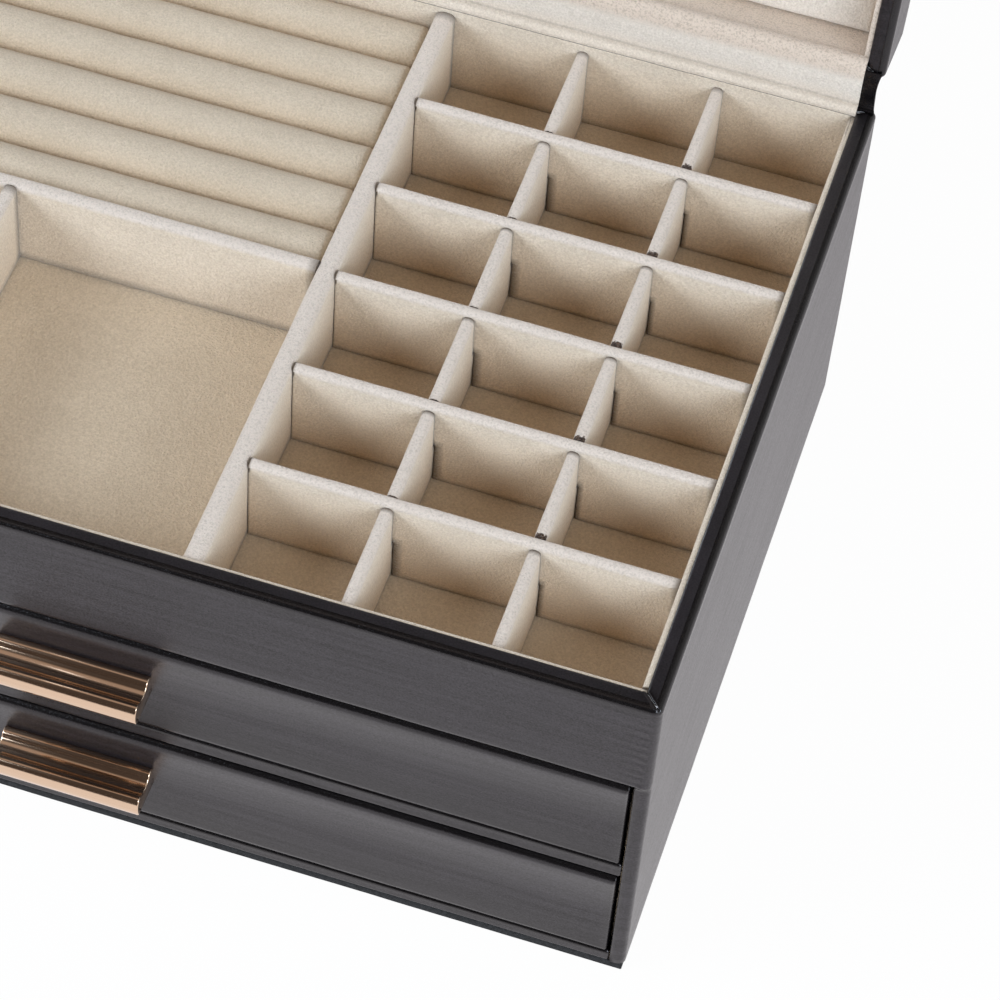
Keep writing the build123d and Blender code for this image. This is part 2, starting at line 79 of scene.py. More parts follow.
def open_lid(points):
    """Where points of the shut lid are when it stands open."""
    points = np.asarray(points, float)
    run = points[:, 1] - hinge_y
    rise = points[:, 2] - hinge_z
    turned = points.copy()
    turned[:, 1] = hinge_y + run * math.cos(lid_swing) + rise * math.sin(lid_swing)
    turned[:, 2] = hinge_z - run * math.sin(lid_swing) + rise * math.cos(lid_swing)
    return turned


def waver(points, size, seed):
    """Smooth unevenness from -1 to 1 at each point, with bumps about size millimetres across."""
    shift = Vector((seed * 7.31, seed * 3.17, seed * 5.93))
    return np.array([noise.noise(Vector(p) / size + shift) for p in points])


def share_of(values):
    """Values held between 0 and 1."""
    return np.clip(values, 0.0, 1.0)


# Nodes: a value is a plain one, or a (node, output) pair that is linked

def feed(tree, target, values):
    """Set or link the sockets of a node."""
    for socket, value in values.items():
        if isinstance(value, tuple) and isinstance(value[0], bpy.types.Node):
            tree.links.new(value[0].outputs[value[1]], target.inputs[socket])
        else:
            target.inputs[socket].default_value = value


def add(tree, kind, values=None, **settings):
    """A new node with its settings and the values of its sockets."""
    made = tree.nodes.new(kind)
    for name, value in settings.items():
        setattr(made, name, value)
    feed(tree, made, values or {})
    return made


def result(tree, kind, values=None, **settings):
    """The first output of a new node."""
    return add(tree, kind, values, **settings), 0


def maths(tree, operation, *values):
    return result(tree, "ShaderNodeMath", dict(enumerate(values)), operation=operation)


def ranged(tree, value, low=0.0, high=1.0, to_low=0.0, to_high=1.0, kind="LINEAR"):
    """A value taken from one range to another and held there."""
    limits = {"From Min": low, "From Max": high, "To Min": to_low, "To Max": to_high}
    return add(tree, "ShaderNodeMapRange", {"Value": value, **limits}, interpolation_type=kind), "Result"


def noisy(tree, place, scale, detail, roughness=0.5, distortion=0.0):
    values = {"Scale": scale, "Detail": detail, "Roughness": roughness, "Distortion": distortion}
    return add(tree, "ShaderNodeTexNoise", {"Vector": place, **values}), "Fac"


def stretched(tree, place, scale):
    return result(tree, "ShaderNodeMapping", {"Vector": place, "Scale": scale})


def marked(tree, label):
    """A mark that is stored on a piece's points."""
    return add(tree, "ShaderNodeAttribute", attribute_name=label), "Fac"


def mixed(tree, low, high, factor):
    return result(tree, "ShaderNodeMix", {"Factor": factor, 2: low, 3: high}, data_type="FLOAT")


def blended(tree, low, high, factor, mode="MIX"):
    """A mix of two colours."""
    low, high = (side if isinstance(side[0], bpy.types.Node) else (*side, 1.0) for side in (low, high))
    values = {"Factor": factor, 6: low, 7: high}
    return add(tree, "ShaderNodeMix", values, data_type="RGBA", blend_type=mode), 2


# Materials

def new_group(name, inputs, outputs):
    """An empty shader group and its two end nodes. An input with no value is a place."""
    group = bpy.data.node_groups.new(name, "ShaderNodeTree")
    for label, value in inputs.items():
        kind = "NodeSocketVector" if value is None else "NodeSocketFloat"
        socket = group.interface.new_socket(label, in_out="INPUT", socket_type=kind)
        if value is not None:
            socket.default_value = value
    for label in outputs:
        group.interface.new_socket(label, in_out="OUTPUT", socket_type="NodeSocketFloat")
    return group, group.nodes.new("NodeGroupInput"), group.nodes.new("NodeGroupOutput")


def velvet_nap_group():
    """Short pile: fine fibre tips, faint brushed patches, and dark specks where the pile parts."""
    group, start, end = new_group(
        "velvet_nap", {"Place": None, "Tips per metre": 1750.0, "Patches per metre": 60.0},
        ("Tone", "Speck", "Height"))
    place, fineness = (start, "Place"), (start, "Tips per metre")
    tips = noisy(group, place, fineness, 3.0, 0.65)
    patch = noisy(group, place, (start, "Patches per metre"), 2.0, 0.5, 0.4)
    apart = result(group, "ShaderNodeVectorMath", {0: place, 1: (0.37, 0.19, 0.53)}, operation="ADD")
    parted = noisy(group, apart, fineness, 2.0, 0.6)
    feed(group, end, {"Tone": mixed(group, tips, patch, 0.18), "Speck": ranged(group, parted, 0.47, 0.66),
                      "Height": maths(group, "MULTIPLY_ADD", parted, -0.7, tips)})
    return group


def leather_grain_group():
    """Pressed grain of the leather: fine pebbles, long streaks round the box, and creases at folded edges."""
    group, start, end = new_group(
        "leather_grain", {"Place": None, "Pebbles per metre": 2100.0, "Fold": 0.0},
        ("Tone", "Shine", "Height"))
    place, fineness, fold = (start, "Place"), (start, "Pebbles per metre"), (start, "Fold")
    spots = {"Vector": place, "Scale": fineness, "Randomness": 1.0}
    pebble = add(group, "ShaderNodeTexVoronoi", spots, feature="SMOOTH_F1"), "Distance"
    fine = noisy(group, place, fineness, 2.0, 0.6)
    streak = noisy(group, stretched(group, place, (26.0, 26.0, 760.0)), 1.0, 4.0, 0.62, 0.35)
    tone = ranged(group, mixed(group, streak, fine, 0.62), 0.36, 0.64)
    crease = noisy(group, place, 1300.0, 3.0, 0.6, 0.5)
    low = maths(group, "MULTIPLY_ADD", streak, 0.05, 0.0)
    pebbled = maths(group, "MULTIPLY_ADD", pebble, 0.20, low)
    folded = maths(group, "MULTIPLY", crease, fold)
    flat_shine = maths(group, "MULTIPLY_ADD", tone, 0.55, 0.2)
    feed(group, end, {"Tone": tone, "Shine": maths(group, "MULTIPLY_ADD", fold, 0.65, flat_shine),
                      "Height": maths(group, "MULTIPLY_ADD", folded, 0.6, pebbled)})
    return group


velvet_nap = velvet_nap_group()
leather_grain = leather_grain_group()


def new_material(name):
    """A material, its tree, its shader and the place on the piece."""
    material = bpy.data.materials.new(name)
    material.use_nodes = True
    tree = material.node_tree
    tree.nodes.clear()
    shader = tree.nodes.new("ShaderNodeBsdfPrincipled")
    add(tree, "ShaderNodeOutputMaterial", {"Surface": (shader, "BSDF")})
    return material, tree, shader, (tree.nodes.new("ShaderNodeTexCoord"), "Object")


def bumped(tree, height, distance, strength):
    values = {"Height": height, "Distance": distance, "Strength": strength}
    return add(tree, "ShaderNodeBump", values), "Normal"


# Painted shade: a warm, dark tint multiplied into the velvet towards the foot of the cells and down the sides
# of the rolls, and a brown painted into the creases
painted_shade_tint, crease_shade_brown = (0.86, 0.745, 0.60), (0.085, 0.055, 0.03)
bare_card_dark, bare_card_light = (0.035, 0.018, 0.011), (0.15, 0.095, 0.065)


def velvet(name, light, shade, top_shade_pale, top_shade_dark, sheen, crease=crease_shade_brown):
    """Short-pile velvet, speckled on the crowns of the cards, and worn through to the dark card where it
    stops short of a slot.
    Painted shade: greyer on the crowns, as the pile looks when seen end-on, darker and warmer towards the
    foot, and brown in the creases."""
    material, tree, shader, place = new_material(name)
    nap = add(tree, "ShaderNodeGroup", {"Place": place}, node_tree=velvet_nap)
    tone, speck = (nap, "Tone"), (nap, "Speck")

    def reach(label, share, low, high):
        """Where a mark shows, with an edge that the tips of the pile make ragged."""
        ragged = maths(tree, "MULTIPLY_ADD", tone, share, marked(tree, label))
        return ranged(tree, ragged, low, high)

    finish = blended(tree, shade, light, ranged(tree, tone, 0.36, 0.64))
    crown = blended(tree, top_shade_pale, top_shade_dark, speck)
    finish = blended(tree, finish, crown, reach("crown", 0.9, 0.72, 1.25))
    finish = blended(tree, finish, painted_shade_tint, marked(tree, "deep"), "MULTIPLY")
    finish = blended(tree, finish, crease, marked(tree, "crease"))
    core = blended(tree, bare_card_dark, bare_card_light, speck)
    finish = blended(tree, finish, core, reach("bare", 1.6, 1.32, 1.42))
    feed(tree, shader, {
        "Base Color": finish, "Roughness": 0.95, "Specular IOR Level": 0.08, "Sheen Weight": sheen,
        "Sheen Roughness": 0.45, "Sheen Tint": (1.0, 0.98, 0.95, 1.0),
        "Normal": bumped(tree, (nap, "Height"), 0.0007, 0.65)})
    return material


def leather(name, colour, roughness):
    """Black leather: streaked and pebbled, darker and glossier where it is folded.
    A painted sheen mark over 0 adds a shiny coat as a painted highlight, and one under 0 darkens it as
    painted shade."""
    material, tree, shader, place = new_material(name)
    fold, painted_sheen_and_shade = marked(tree, "fold"), marked(tree, "painted_sheen_and_shade")
    grain = add(tree, "ShaderNodeGroup", {"Place": place, "Fold": fold}, node_tree=leather_grain)
    dull, streaked, folded = (tuple(share * c for c in colour) for share in (0.1, 3.4, 0.25))
    dark = maths(tree, "MAXIMUM", fold, ranged(tree, painted_sheen_and_shade, 0.0, -1.0))
    gloss = ranged(tree, (grain, "Tone"), to_low=roughness + 0.05, to_high=roughness - 0.05)
    coat = ranged(tree, (grain, "Shine"), to_high=0.20)
    feed(tree, shader, {
        "Base Color": blended(tree, blended(tree, dull, streaked, (grain, "Tone")), folded, dark),
        "Roughness": maths(tree, "MULTIPLY_ADD", fold, -0.14, gloss),
        "IOR": 1.48, "Specular Tint": (1.0, 0.955, 0.985, 1.0),
        "Coat Weight": maths(tree, "MAXIMUM", ranged(tree, painted_sheen_and_shade), coat), "Coat Roughness": 0.22,
        "Normal": bumped(tree, (grain, "Height"), 0.00045, 0.30)})
    return material


def rose_gold():
    """Polished plating with faint lengthwise polishing lines."""
    material, tree, shader, place = new_material("rose_gold")
    lines = noisy(tree, stretched(tree, place, (18.0, 1500.0, 1500.0)), 1.0, 3.0, 0.6)
    feed(tree, shader, {
        "Base Color": blended(tree, (0.69, 0.50, 0.355), (0.78, 0.58, 0.425), lines), "Metallic": 1.0,
        "Roughness": ranged(tree, lines, to_low=0.10, to_high=0.17),
        "Normal": bumped(tree, lines, 0.00002, 0.15)})
    return material


def speckled(name, low, high, scale, roughness, depth, metallic=0.0):
    """Fibrous or brushed stock: board, card, pad or steel."""
    material, tree, shader, place = new_material(name)
    fibre = noisy(tree, place, scale, 5.0, 0.65)
    feed(tree, shader, {
        "Base Color": blended(tree, low, high, ranged(tree, fibre, 0.32, 0.68)), "Roughness": roughness,
        "Metallic": metallic, "Normal": bumped(tree, fibre, depth, 0.5)})
    return material


def mirror_glass():
    """Silvered glass with a barely uneven tone."""
    material, tree, shader, place = new_material("mirror_glass")
    tone = blended(tree, (0.86, 0.89, 0.89), (0.92, 0.94, 0.94), noisy(tree, place, 9.0, 1.0))
    feed(tree, shader, {"Base Color": tone, "Metallic": 1.0, "Roughness": 0.02})
    return material


black_leather = leather("black_leather", (0.0080, 0.0068, 0.0079), 0.37)
# The crown colours of each velvet are painted shade: tops greyer, as the pile looks when seen end-on
ivory_velvet = velvet("ivory_velvet", (0.92, 0.81, 0.665), (0.71, 0.60, 0.47),
                      (0.80, 0.705, 0.62), (0.66, 0.58, 0.505), 0.40)
# A darker, warmer copy of the ivory velvet for the floor pads: painted shade
floor_velvet = velvet("floor_velvet", (0.82, 0.685, 0.52), (0.64, 0.52, 0.38),
                      (0.60, 0.55, 0.47), (0.40, 0.36, 0.30), 0.25)
# A darker, warmer copy of the ivory velvet for the ring rolls: painted shade, with a warmer brown painted
# into their creases
shaded_roll_velvet = velvet("shaded_roll_velvet", (0.74, 0.63, 0.495), (0.57, 0.475, 0.36),
                      (0.60, 0.55, 0.47), (0.40, 0.36, 0.30), 0.25, (0.34, 0.21, 0.10))
# A paler, more neutral copy of the ivory velvet for the lid's pad and the hinge lining: painted light. Its
# tan crown colours are painted shade on the lid's lining and on the top of the hinge lining
lid_velvet = velvet("lid_velvet", (0.95, 0.865, 0.765), (0.74, 0.66, 0.565),
                    (0.78, 0.655, 0.545), (0.58, 0.475, 0.38), 0.40)
# Grey of the leather's cut edge at the mitres, painted lighter to stand for the glint along the seams
cut_edge_and_glint = speckled("leather_cut_edge_and_glint", (0.30, 0.30, 0.31), (0.66, 0.65, 0.64), 900.0, 0.6, 0.0001)
raw_card = speckled("raw_card", (0.36, 0.29, 0.20), (0.50, 0.42, 0.31), 700.0, 0.9, 0.0002)
board = speckled("board", (0.38, 0.27, 0.16), (0.58, 0.45, 0.30), 420.0, 0.85, 0.0002)
base_felt = speckled("base_felt", (0.006, 0.006, 0.006), (0.030, 0.030, 0.031), 1300.0, 0.95, 0.0005)
steel = speckled("screw_steel", (0.50, 0.50, 0.51), (0.70, 0.70, 0.71), 300.0, 0.32, 0.00003, 1.0)
gold = rose_gold()
finishes = {"black_leather": black_leather, "ivory_velvet": ivory_velvet, "board": board,
            "raw_card": raw_card, "base_felt": base_felt, "rose_gold": gold, "screw_steel": steel,
            "mirror_glass": mirror_glass()}
for row in frame["record"]["subparts"]:
    shape = nodes[row["node"]].data
    shape.materials.clear()
    shape.materials.append(finishes[row["material_slot"]])


# Camera, floor, studio and lamps

def show(name, data):
    """A new object in the scene."""
    made = bpy.data.objects.new(name, data)
    bpy.context.scene.collection.objects.link(made)
    return made


camera = show("camera", bpy.data.cameras.new("camera"))
camera_right = Vector((0.95228757, 0.29984079, 0.05695511))
camera_down = Vector((0.26923932, -0.73743576, -0.61943417))
camera_ahead = Vector((-0.14373089, 0.60521401, -0.78297984))
camera_turn = Matrix((camera_right, -camera_down, -camera_ahead)).transposed()
camera_place = Matrix.Translation((0.22704109, -0.62784955, 0.85304318))
camera.matrix_world = camera_place @ camera_turn.to_4x4()
camera.data.sensor_width = 36.0
camera.data.lens = 142.5902
camera.data.clip_start = 0.05
camera.data.clip_end = 50.0
bpy.context.scene.camera = camera
white = (1.0, 1.0, 1.0)


def white_floor():
    """A floor that keeps a soft shadow. In reflections only it is painted darker to the back, a painted shade
    where the leather mirrors it.
    """
    mesh = bpy.data.meshes.new("floor")
    mesh.from_pydata([(-9, -9, 0), (9, -9, 0), (9, 9, 0), (-9, 9, 0)], [], [(0, 1, 2, 3)])
    paint = bpy.data.materials.new("floor_paint")
    paint.use_nodes = True
    tree = paint.node_tree
    tree.nodes.clear()
    path = tree.nodes.new("ShaderNodeLightPath")
    spot = add(tree, "ShaderNodeSeparateXYZ", {0: (tree.nodes.new("ShaderNodeTexCoord"), "Object")})
    # Painted shade seen only in reflections: the floor's glow darkens towards the back of the box
    fade = ranged(tree, (spot, "Y"), -0.10, 0.24)
    painted_reflected_shade = blended(tree, (1.0, 0.97, 0.985), (0.80, 0.765, 0.785), fade)
    tint = blended(tree, white, painted_reflected_shade, (path, "Is Glossy Ray"))
    matt = result(tree, "ShaderNodeBsdfDiffuse", {"Color": (0.86, 0.86, 0.87, 1.0)})
    glow = result(tree, "ShaderNodeEmission", {"Color": tint, "Strength": 1.0})
    seen = maths(tree, "MAXIMUM", (path, "Is Camera Ray"), (path, "Is Glossy Ray"))
    seen = maths(tree, "MAXIMUM", seen, (path, "Is Transmission Ray"))
    share = maths(tree, "MULTIPLY", seen, 0.97)
    finish = result(tree, "ShaderNodeMixShader", {"Fac": share, 1: matt, 2: glow})
    add(tree, "ShaderNodeOutputMaterial", {"Surface": finish})
    mesh.materials.append(paint)
    return show("floor", mesh)


def studio():
    """White at the horizon but dark in front, with a soft strip overhead, and brighter to both sides."""
    world = bpy.data.worlds.new("studio")
    world.use_nodes = True
    tree = world.node_tree
    tree.nodes.clear()
    way = add(tree, "ShaderNodeSeparateXYZ", {0: (tree.nodes.new("ShaderNodeTexCoord"), "Generated")})

    def ramp(value, low, high):
        return ranged(tree, value, low, high, kind="SMOOTHSTEP")

    def off_middle(axis, middle):
        """How far a direction is to either side of a middle."""
        return maths(tree, "ABSOLUTE", maths(tree, "SUBTRACT", (way, axis), middle))

    room_dark = (0.065, 0.052, 0.046)
    strip = blended(tree, (0.42, 0.35, 0.31), room_dark, ramp(off_middle("Y", 0.0), 0.20, 0.42))
    overhead = blended(tree, strip, (0.48, 0.47, 0.46), ramp(off_middle("X", -0.21), 0.20, 0.52))
    horizon = blended(tree, white, room_dark, ramp((way, "Y"), -0.25, -0.65))
    sky = blended(tree, horizon, overhead, ramp((way, "Z"), 0.08, 0.42))
    sky = blended(tree, sky, white, (tree.nodes.new("ShaderNodeLightPath"), "Is Camera Ray"))
    light = result(tree, "ShaderNodeBackground", {"Color": sky})
    add(tree, "ShaderNodeOutputWorld", {"Surface": light})
    return world


def soft_box(name, place, aim, size, power):
    """A rectangular lamp that points at a place."""
    lamp = bpy.data.lights.new(name, "AREA")
    lamp.shape = "RECTANGLE"
    lamp.size, lamp.size_y = size
    lamp.energy = power
    lamp.color = (0.84, 0.94, 1.06)
    holder = show(name, lamp)
    holder.location = place
    holder.rotation_mode = "QUATERNION"
    holder.rotation_quaternion = (Vector(aim) - Vector(place)).to_track_quat("-Z", "Y")


white_floor()
bpy.context.scene.world = studio()
bpy.context.scene.view_settings.view_transform = "Standard"
soft_box("right_light", (1.04, -0.85, 0.80), (0.03, 0.0, 0.1), (1.0, 0.7), 13.8)
soft_box("left_light", (-1.06, -0.75, 0.85), (0.0, 0.0, 0.1), (0.85, 0.7), 16.3)
soft_box("strip_light", (-0.34, -0.02, 1.45), (0.0, -0.11, 0.06), (0.3, 0.07), 0.12)

# Making of pieces

edge_steps = np.array([0.0, 0.05, 0.17, 0.36, 0.64, 1.0])
edge_fullness = 2.3


def grid_lines(start, end, step, edges=()):
    """Grid lines about step apart, closer together from each edge (place, direction, reach)."""
    close = [start, end]
    for place, direction, reach in edges:
        close += list(place + direction * reach * edge_steps)
    close = np.unique(np.round([c for c in close if start <= c <= end], 4))
    even = np.linspace(start, end, max(2, round((end - start) / step) + 1))
    even = [e for e in even if np.min(np.abs(close - e)) > 0.3 * step]
    return np.sort(np.concatenate([close, even]))


def lines_between(half, step, reach):
    """Grid lines from -half to half, closer together within reach of both ends."""
    return grid_lines(-half, half, step, [(-half, 1, reach), (half, -1, reach)])


def rounded(distance, reach):
    """Share of the full thickness at a distance in from a rounded edge."""
    inside = share_of(np.asarray(distance) / reach)
    return (1.0 - (1.0 - inside) ** edge_fullness) ** (1.0 / edge_fullness)


def make_piece(name, points, faces, materials, marks=None, finish_of_face=None, closed=True):
    """A mesh object from points in millimetres, with its marks stored on the points."""
    mesh = bpy.data.meshes.new(name)
    mesh.from_pydata((np.asarray(points) * mm).tolist(), [], faces)
    for material in materials:
        mesh.materials.append(material)
    for label, values in (marks or {}).items():
        layer = mesh.attributes.new(label, "FLOAT", "POINT")
        layer.data.foreach_set("value", np.asarray(values, np.float32))
    if finish_of_face is not None:
        mesh.polygons.foreach_set("material_index", np.asarray(finish_of_face, np.int32))
    mesh.polygons.foreach_set("use_smooth", np.ones(len(mesh.polygons), bool))
    if closed:
        form = bmesh.new()
        form.from_mesh(mesh)
        bmesh.ops.delete(form, geom=[v for v in form.verts if not v.link_faces], context="VERTS")
        bmesh.ops.recalc_face_normals(form, faces=form.faces)
        form.to_mesh(mesh)
        form.free()
    mesh.update()
    return show(name, mesh)


def settle(made, body, slot, *stands_for):
    """A finished piece rides on its body and stands for its CAD nodes."""
    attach(made, body)
    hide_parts(*stands_for)
    return made


def make_uneven(made, waves, mark=None):
    """Move the points along their normals by waves of (height, size, seed), as far as a mark says."""
    mesh = made.data
    points = np.zeros(len(mesh.vertices) * 3)
    normals = np.zeros(len(mesh.vertices) * 3)
    mesh.vertices.foreach_get("co", points)
    mesh.vertex_normals.foreach_get("vector", normals)
    points, normals = points.reshape(-1, 3), normals.reshape(-1, 3)
    push = sum(height * waver(points / mm, size, seed) for height, size, seed in waves) * mm
    if mark:
        share = np.zeros(len(mesh.vertices))
        mesh.attributes[mark].data.foreach_get("value", share)
        push = push * share
    mesh.vertices.foreach_set("co", (points + normals * push[:, None]).ravel())
    mesh.update()


def thicken(made, thickness, offset=-1.0):
    """Give a surface its thickness, to its inner side or to both."""
    shell = made.modifiers.new("thickness", "SOLIDIFY")
    shell.thickness = thickness * mm
    shell.offset = offset


def plain_mesh(made):
    """Turn a piece's modifiers into its own mesh."""
    bpy.context.view_layer.update()
    graph = bpy.context.evaluated_depsgraph_get()
    mesh = bpy.data.meshes.new_from_object(made.evaluated_get(graph))
    made.modifiers.clear()
    made.data = mesh
    return made


# Velvet-covered cards

crown_depth, crease_width, shade_start = 1.9, 0.42, 3.0


def card_shape(along, up, slots, ends, crown, foot, faces_of, step=3.0, slot_round=0.25,
               more_along=(), more_up=()):
    """Points (along, up, out), faces and marks of a covered card with rounded edges.
    slots are (middle, half width, low, high) cut out of it. faces_of gives the two faces' distances out."""
    u_edges = [(along[0], 1, ends), (along[1], -1, ends), *more_along]
    v_edges = [(up[0], 1, foot), (up[1], -1, crown), *more_up]
    for middle, half, low, high in slots:
        u_edges += [(middle - half, -1, slot_round), (middle + half, 1, slot_round)]
        v_edges += [(high, 1, slot_round)] if low <= up[0] else [(low, -1, slot_round)]
    u = grid_lines(along[0], along[1], step, u_edges)
    v = grid_lines(up[0], up[1], step, v_edges)
    across, rise = np.meshgrid(u, v, indexing="ij")
    middle_u, middle_v = np.meshgrid((u[1:] + u[:-1]) / 2, (v[1:] + v[:-1]) / 2, indexing="ij")
    kept = np.ones(middle_u.shape, bool)
    full = np.minimum(rounded(across - along[0], ends), rounded(along[1] - across, ends))
    full = np.minimum(full, np.minimum(rounded(rise - up[0], foot), rounded(up[1] - rise, crown)))
    seam = np.minimum(np.minimum(across - along[0], along[1] - across), rise - up[0])
    for middle, half, low, high in slots:
        kept &= ~((np.abs(middle_u - middle) < half) & (middle_v > low) & (middle_v < high))
        beside = np.maximum(np.abs(across - middle) - half, 0.0)
        beyond = np.maximum(np.maximum(low - rise, rise - high), 0.0)
        away = np.hypot(beside, beyond)
        full = np.minimum(full, rounded(away, slot_round))
        seam = np.minimum(seam, away)
    touching = np.zeros(across.shape, int)
    for i in (0, 1):
        for j in (0, 1):
            touching[i:i + kept.shape[0], j:j + kept.shape[1]] += kept
    used, inner = touching > 0, touching == 4
    out_front, out_back = faces_of(across, rise, full)
    front = np.full(across.shape, -1)
    front[used] = np.arange(used.sum())
    back = front.copy()
    back[inner] = used.sum() + np.arange(inner.sum())
    edge_out = np.where(inner, out_front, (out_front + out_back) / 2)
    points = np.concatenate([
        np.stack([across[used], rise[used], edge_out[used]], 1),
        np.stack([across[inner], rise[inner], out_back[inner]], 1)])
    faces = []
    for i, j in np.argwhere(kept):
        corners = [(i, j), (i + 1, j), (i + 1, j + 1), (i, j + 1)]
        faces.append([int(front[c]) for c in corners])
        faces.append([int(back[c]) for c in reversed(corners)])
    drop = up[1] - rise
    # Marks of painted shade: a greyer crown along the top, brown creases along the foot, the ends and the
    # slots, and a darker, warmer tint below shade_start
    marks = {"crown": share_of(1.2 - drop / crown_depth), "crease": share_of(1.45 - seam / crease_width),
             "deep": share_of((drop - shade_start) / (up[1] - up[0] - shade_start)) ** 0.7}
    return points, faces, {label: np.concatenate([m[used], m[inner]]) for label, m in marks.items()}


def even_card(thickness, puff, spans=(), up=(0.0, 1.0), swell=0.0):
    """The two faces of a card, fuller in the middle, and swelling by itself between the ends of its spans."""
    def faces_of(across, rise, full):
        half = full * (thickness / 2 + puff * share_of(full))
        for start, end in zip(spans[:-1], spans[1:]):
            sideways = share_of(1.0 - np.abs(2 * (across - start) / (end - start) - 1.0) ** 3)
            upwards = share_of(1.0 - np.abs(2 * (rise - up[0]) / (up[1] - up[0]) - 1.0) ** 3)
            half = half + swell * sideways * upwards * full
        return half, -half
    return faces_of


def velvet_card(name, along, up, thickness, place, slots=(), ends=0.3, crown=1.3, foot=0.4, seed=1, step=3.0,
                speckled_top=True, bare_ends=0.0, spotted_end=False, painted_shade_share=1.0):
    """A velvet-covered card. place turns (along, up, out) into the box's x, y and z.
    The velvet stops short of the back of each slot by bare_ends and leaves the card bare there."""
    bare_shares = (0.35, 0.8, 1.4) if bare_ends else ()
    near_slots = [(slot[0] + slot[1], 1, bare_ends * share) for slot in slots for share in bare_shares]
    spans = [along[0]] + [slot[0] for slot in slots] + [along[1]]
    shape = even_card(thickness, 0.06, spans, up, 0.3 if slots else 0.0)
    points, faces, marks = card_shape(along, up, slots, ends, crown, foot, shape, step,
                                      more_along=[(along[0], 1, 1.4), *near_slots],
                                      more_up=[(up[1], -1, 3.0)])
    # Painted shade: the grey crown on the top when speckled_top, the darker, warmer tint scaled by the share
    # that the caller gives, and with spotted_end a small dark spot of the crease colour near the top of the
    # first end
    marks["crown"] *= speckled_top
    marks["deep"] *= painted_shade_share
    drop = up[1] - points[:, 1]
    if spotted_end:
        spot = np.hypot(points[:, 0] - along[0] - 0.3, drop - 1.6) < 0.6
        marks["crease"] = np.maximum(marks["crease"], spot)
    marks["bare"] = np.zeros(len(points))
    for middle, half, low, high in slots if bare_ends else ():
        off = points[:, 0] - middle - half
        worn = share_of(1.5 - off / bare_ends) * (off > -0.1) * share_of(1.7 - drop / 0.6)
        marks["bare"] = np.maximum(marks["bare"], worn)
    made = make_piece(name, place(points), faces, [ivory_velvet], marks)
    make_uneven(made, [(0.10, 16.0, seed), (0.05, 5.0, seed + 9)])
    return made


def facing_front(y):
    """A card that runs from left to right, at that depth."""
    return lambda p: np.stack([p[:, 0], y - p[:, 2], p[:, 1]], 1)


def facing_right(x):
    """A card that runs from front to back."""
    return lambda p: np.stack([x + p[:, 2], p[:, 0], p[:, 1]], 1)


# Velvet lining of the tray: side, run, thickness, whether it runs from left to right, and its middle
linings = (
    ("front", (-opening_half, opening_half), side_card, True, tray_front - side_card / 2),
    ("back", (-opening_half, opening_half), back_card, True, tray_back + back_card / 2),
    ("left", (tray_front, tray_back), side_card, False, -tray_half - side_card / 2),
    ("right", (tray_front, tray_back), side_card, False, tray_half + side_card / 2),
)
for count, (side, run, thick, from_left, middle) in enumerate(linings):
    place = facing_front(middle) if from_left else facing_right(middle)
    made = velvet_card(f"lining_{side}", run, (deck_top, lining_top), thick, place,
                       crown=0.5 if thick == back_card else 0.9, seed=count, speckled_top=False)
    settle(made, "case", "ivory_velvet", f"tray_liner_{side}")

# Large dividers of the tray
made = velvet_card("divider_main", (tray_front, tray_back), (floor_top, main_top), main_right - main_left,
                   facing_right((main_left + main_right) / 2), crown=1.8, seed=11)
settle(made, "case", "ivory_velvet", "main_divider")
made = velvet_card("divider_ring_bay", (-tray_half, main_left), (floor_top, ring_top), ring_back - ring_front,
                   facing_front((ring_front + ring_back) / 2), crown=1.6, seed=12, painted_shade_share=0.15)
settle(made, "case", "ivory_velvet", "ring_divider")
made = velvet_card("divider_compartments", (tray_front, ring_front), (floor_top, ring_top), compartment_card,
                   facing_right(compartment_middle), seed=13, painted_shade_share=0.5)
settle(made, "case", "ivory_velvet", "compartment_divider")

# Grid of the small cells: rows slotted from below, columns slotted from above
row_slot_shift, row_slot_room = 0.12, 0.19
column_slot_shift, column_slot_room = 0.10, 0.20
past_edge, lap_clearance = 1.0, 0.2
for count, y in enumerate(row_places, start=1):
    slots = [(x + row_slot_shift, divider_card / 2 + row_slot_room,
              floor_top - past_edge, lap_top + lap_clearance) for x in column_places]
    made = velvet_card(f"divider_row_{count}", (main_right, tray_half), (floor_top, row_top), divider_card,
                       facing_front(y), slots, seed=20 + count, step=2.0, spotted_end=True)
    settle(made, "case", "ivory_velvet", f"row_divider_{count}")
for count, (x, bare_ends) in enumerate(zip(column_places, (0.6, 2.0)), start=1):
    slots = [(y + column_slot_shift, divider_card / 2 + column_slot_room, lap_top, column_top + past_edge)
             for y in row_places]
    made = velvet_card(f"divider_column_{count}", (tray_front, tray_back), (floor_top, column_top),
                       divider_card, facing_right(x), slots, seed=30 + count, step=2.0, bare_ends=bare_ends)
    settle(made, "case", "ivory_velvet", f"column_divider_{count}")


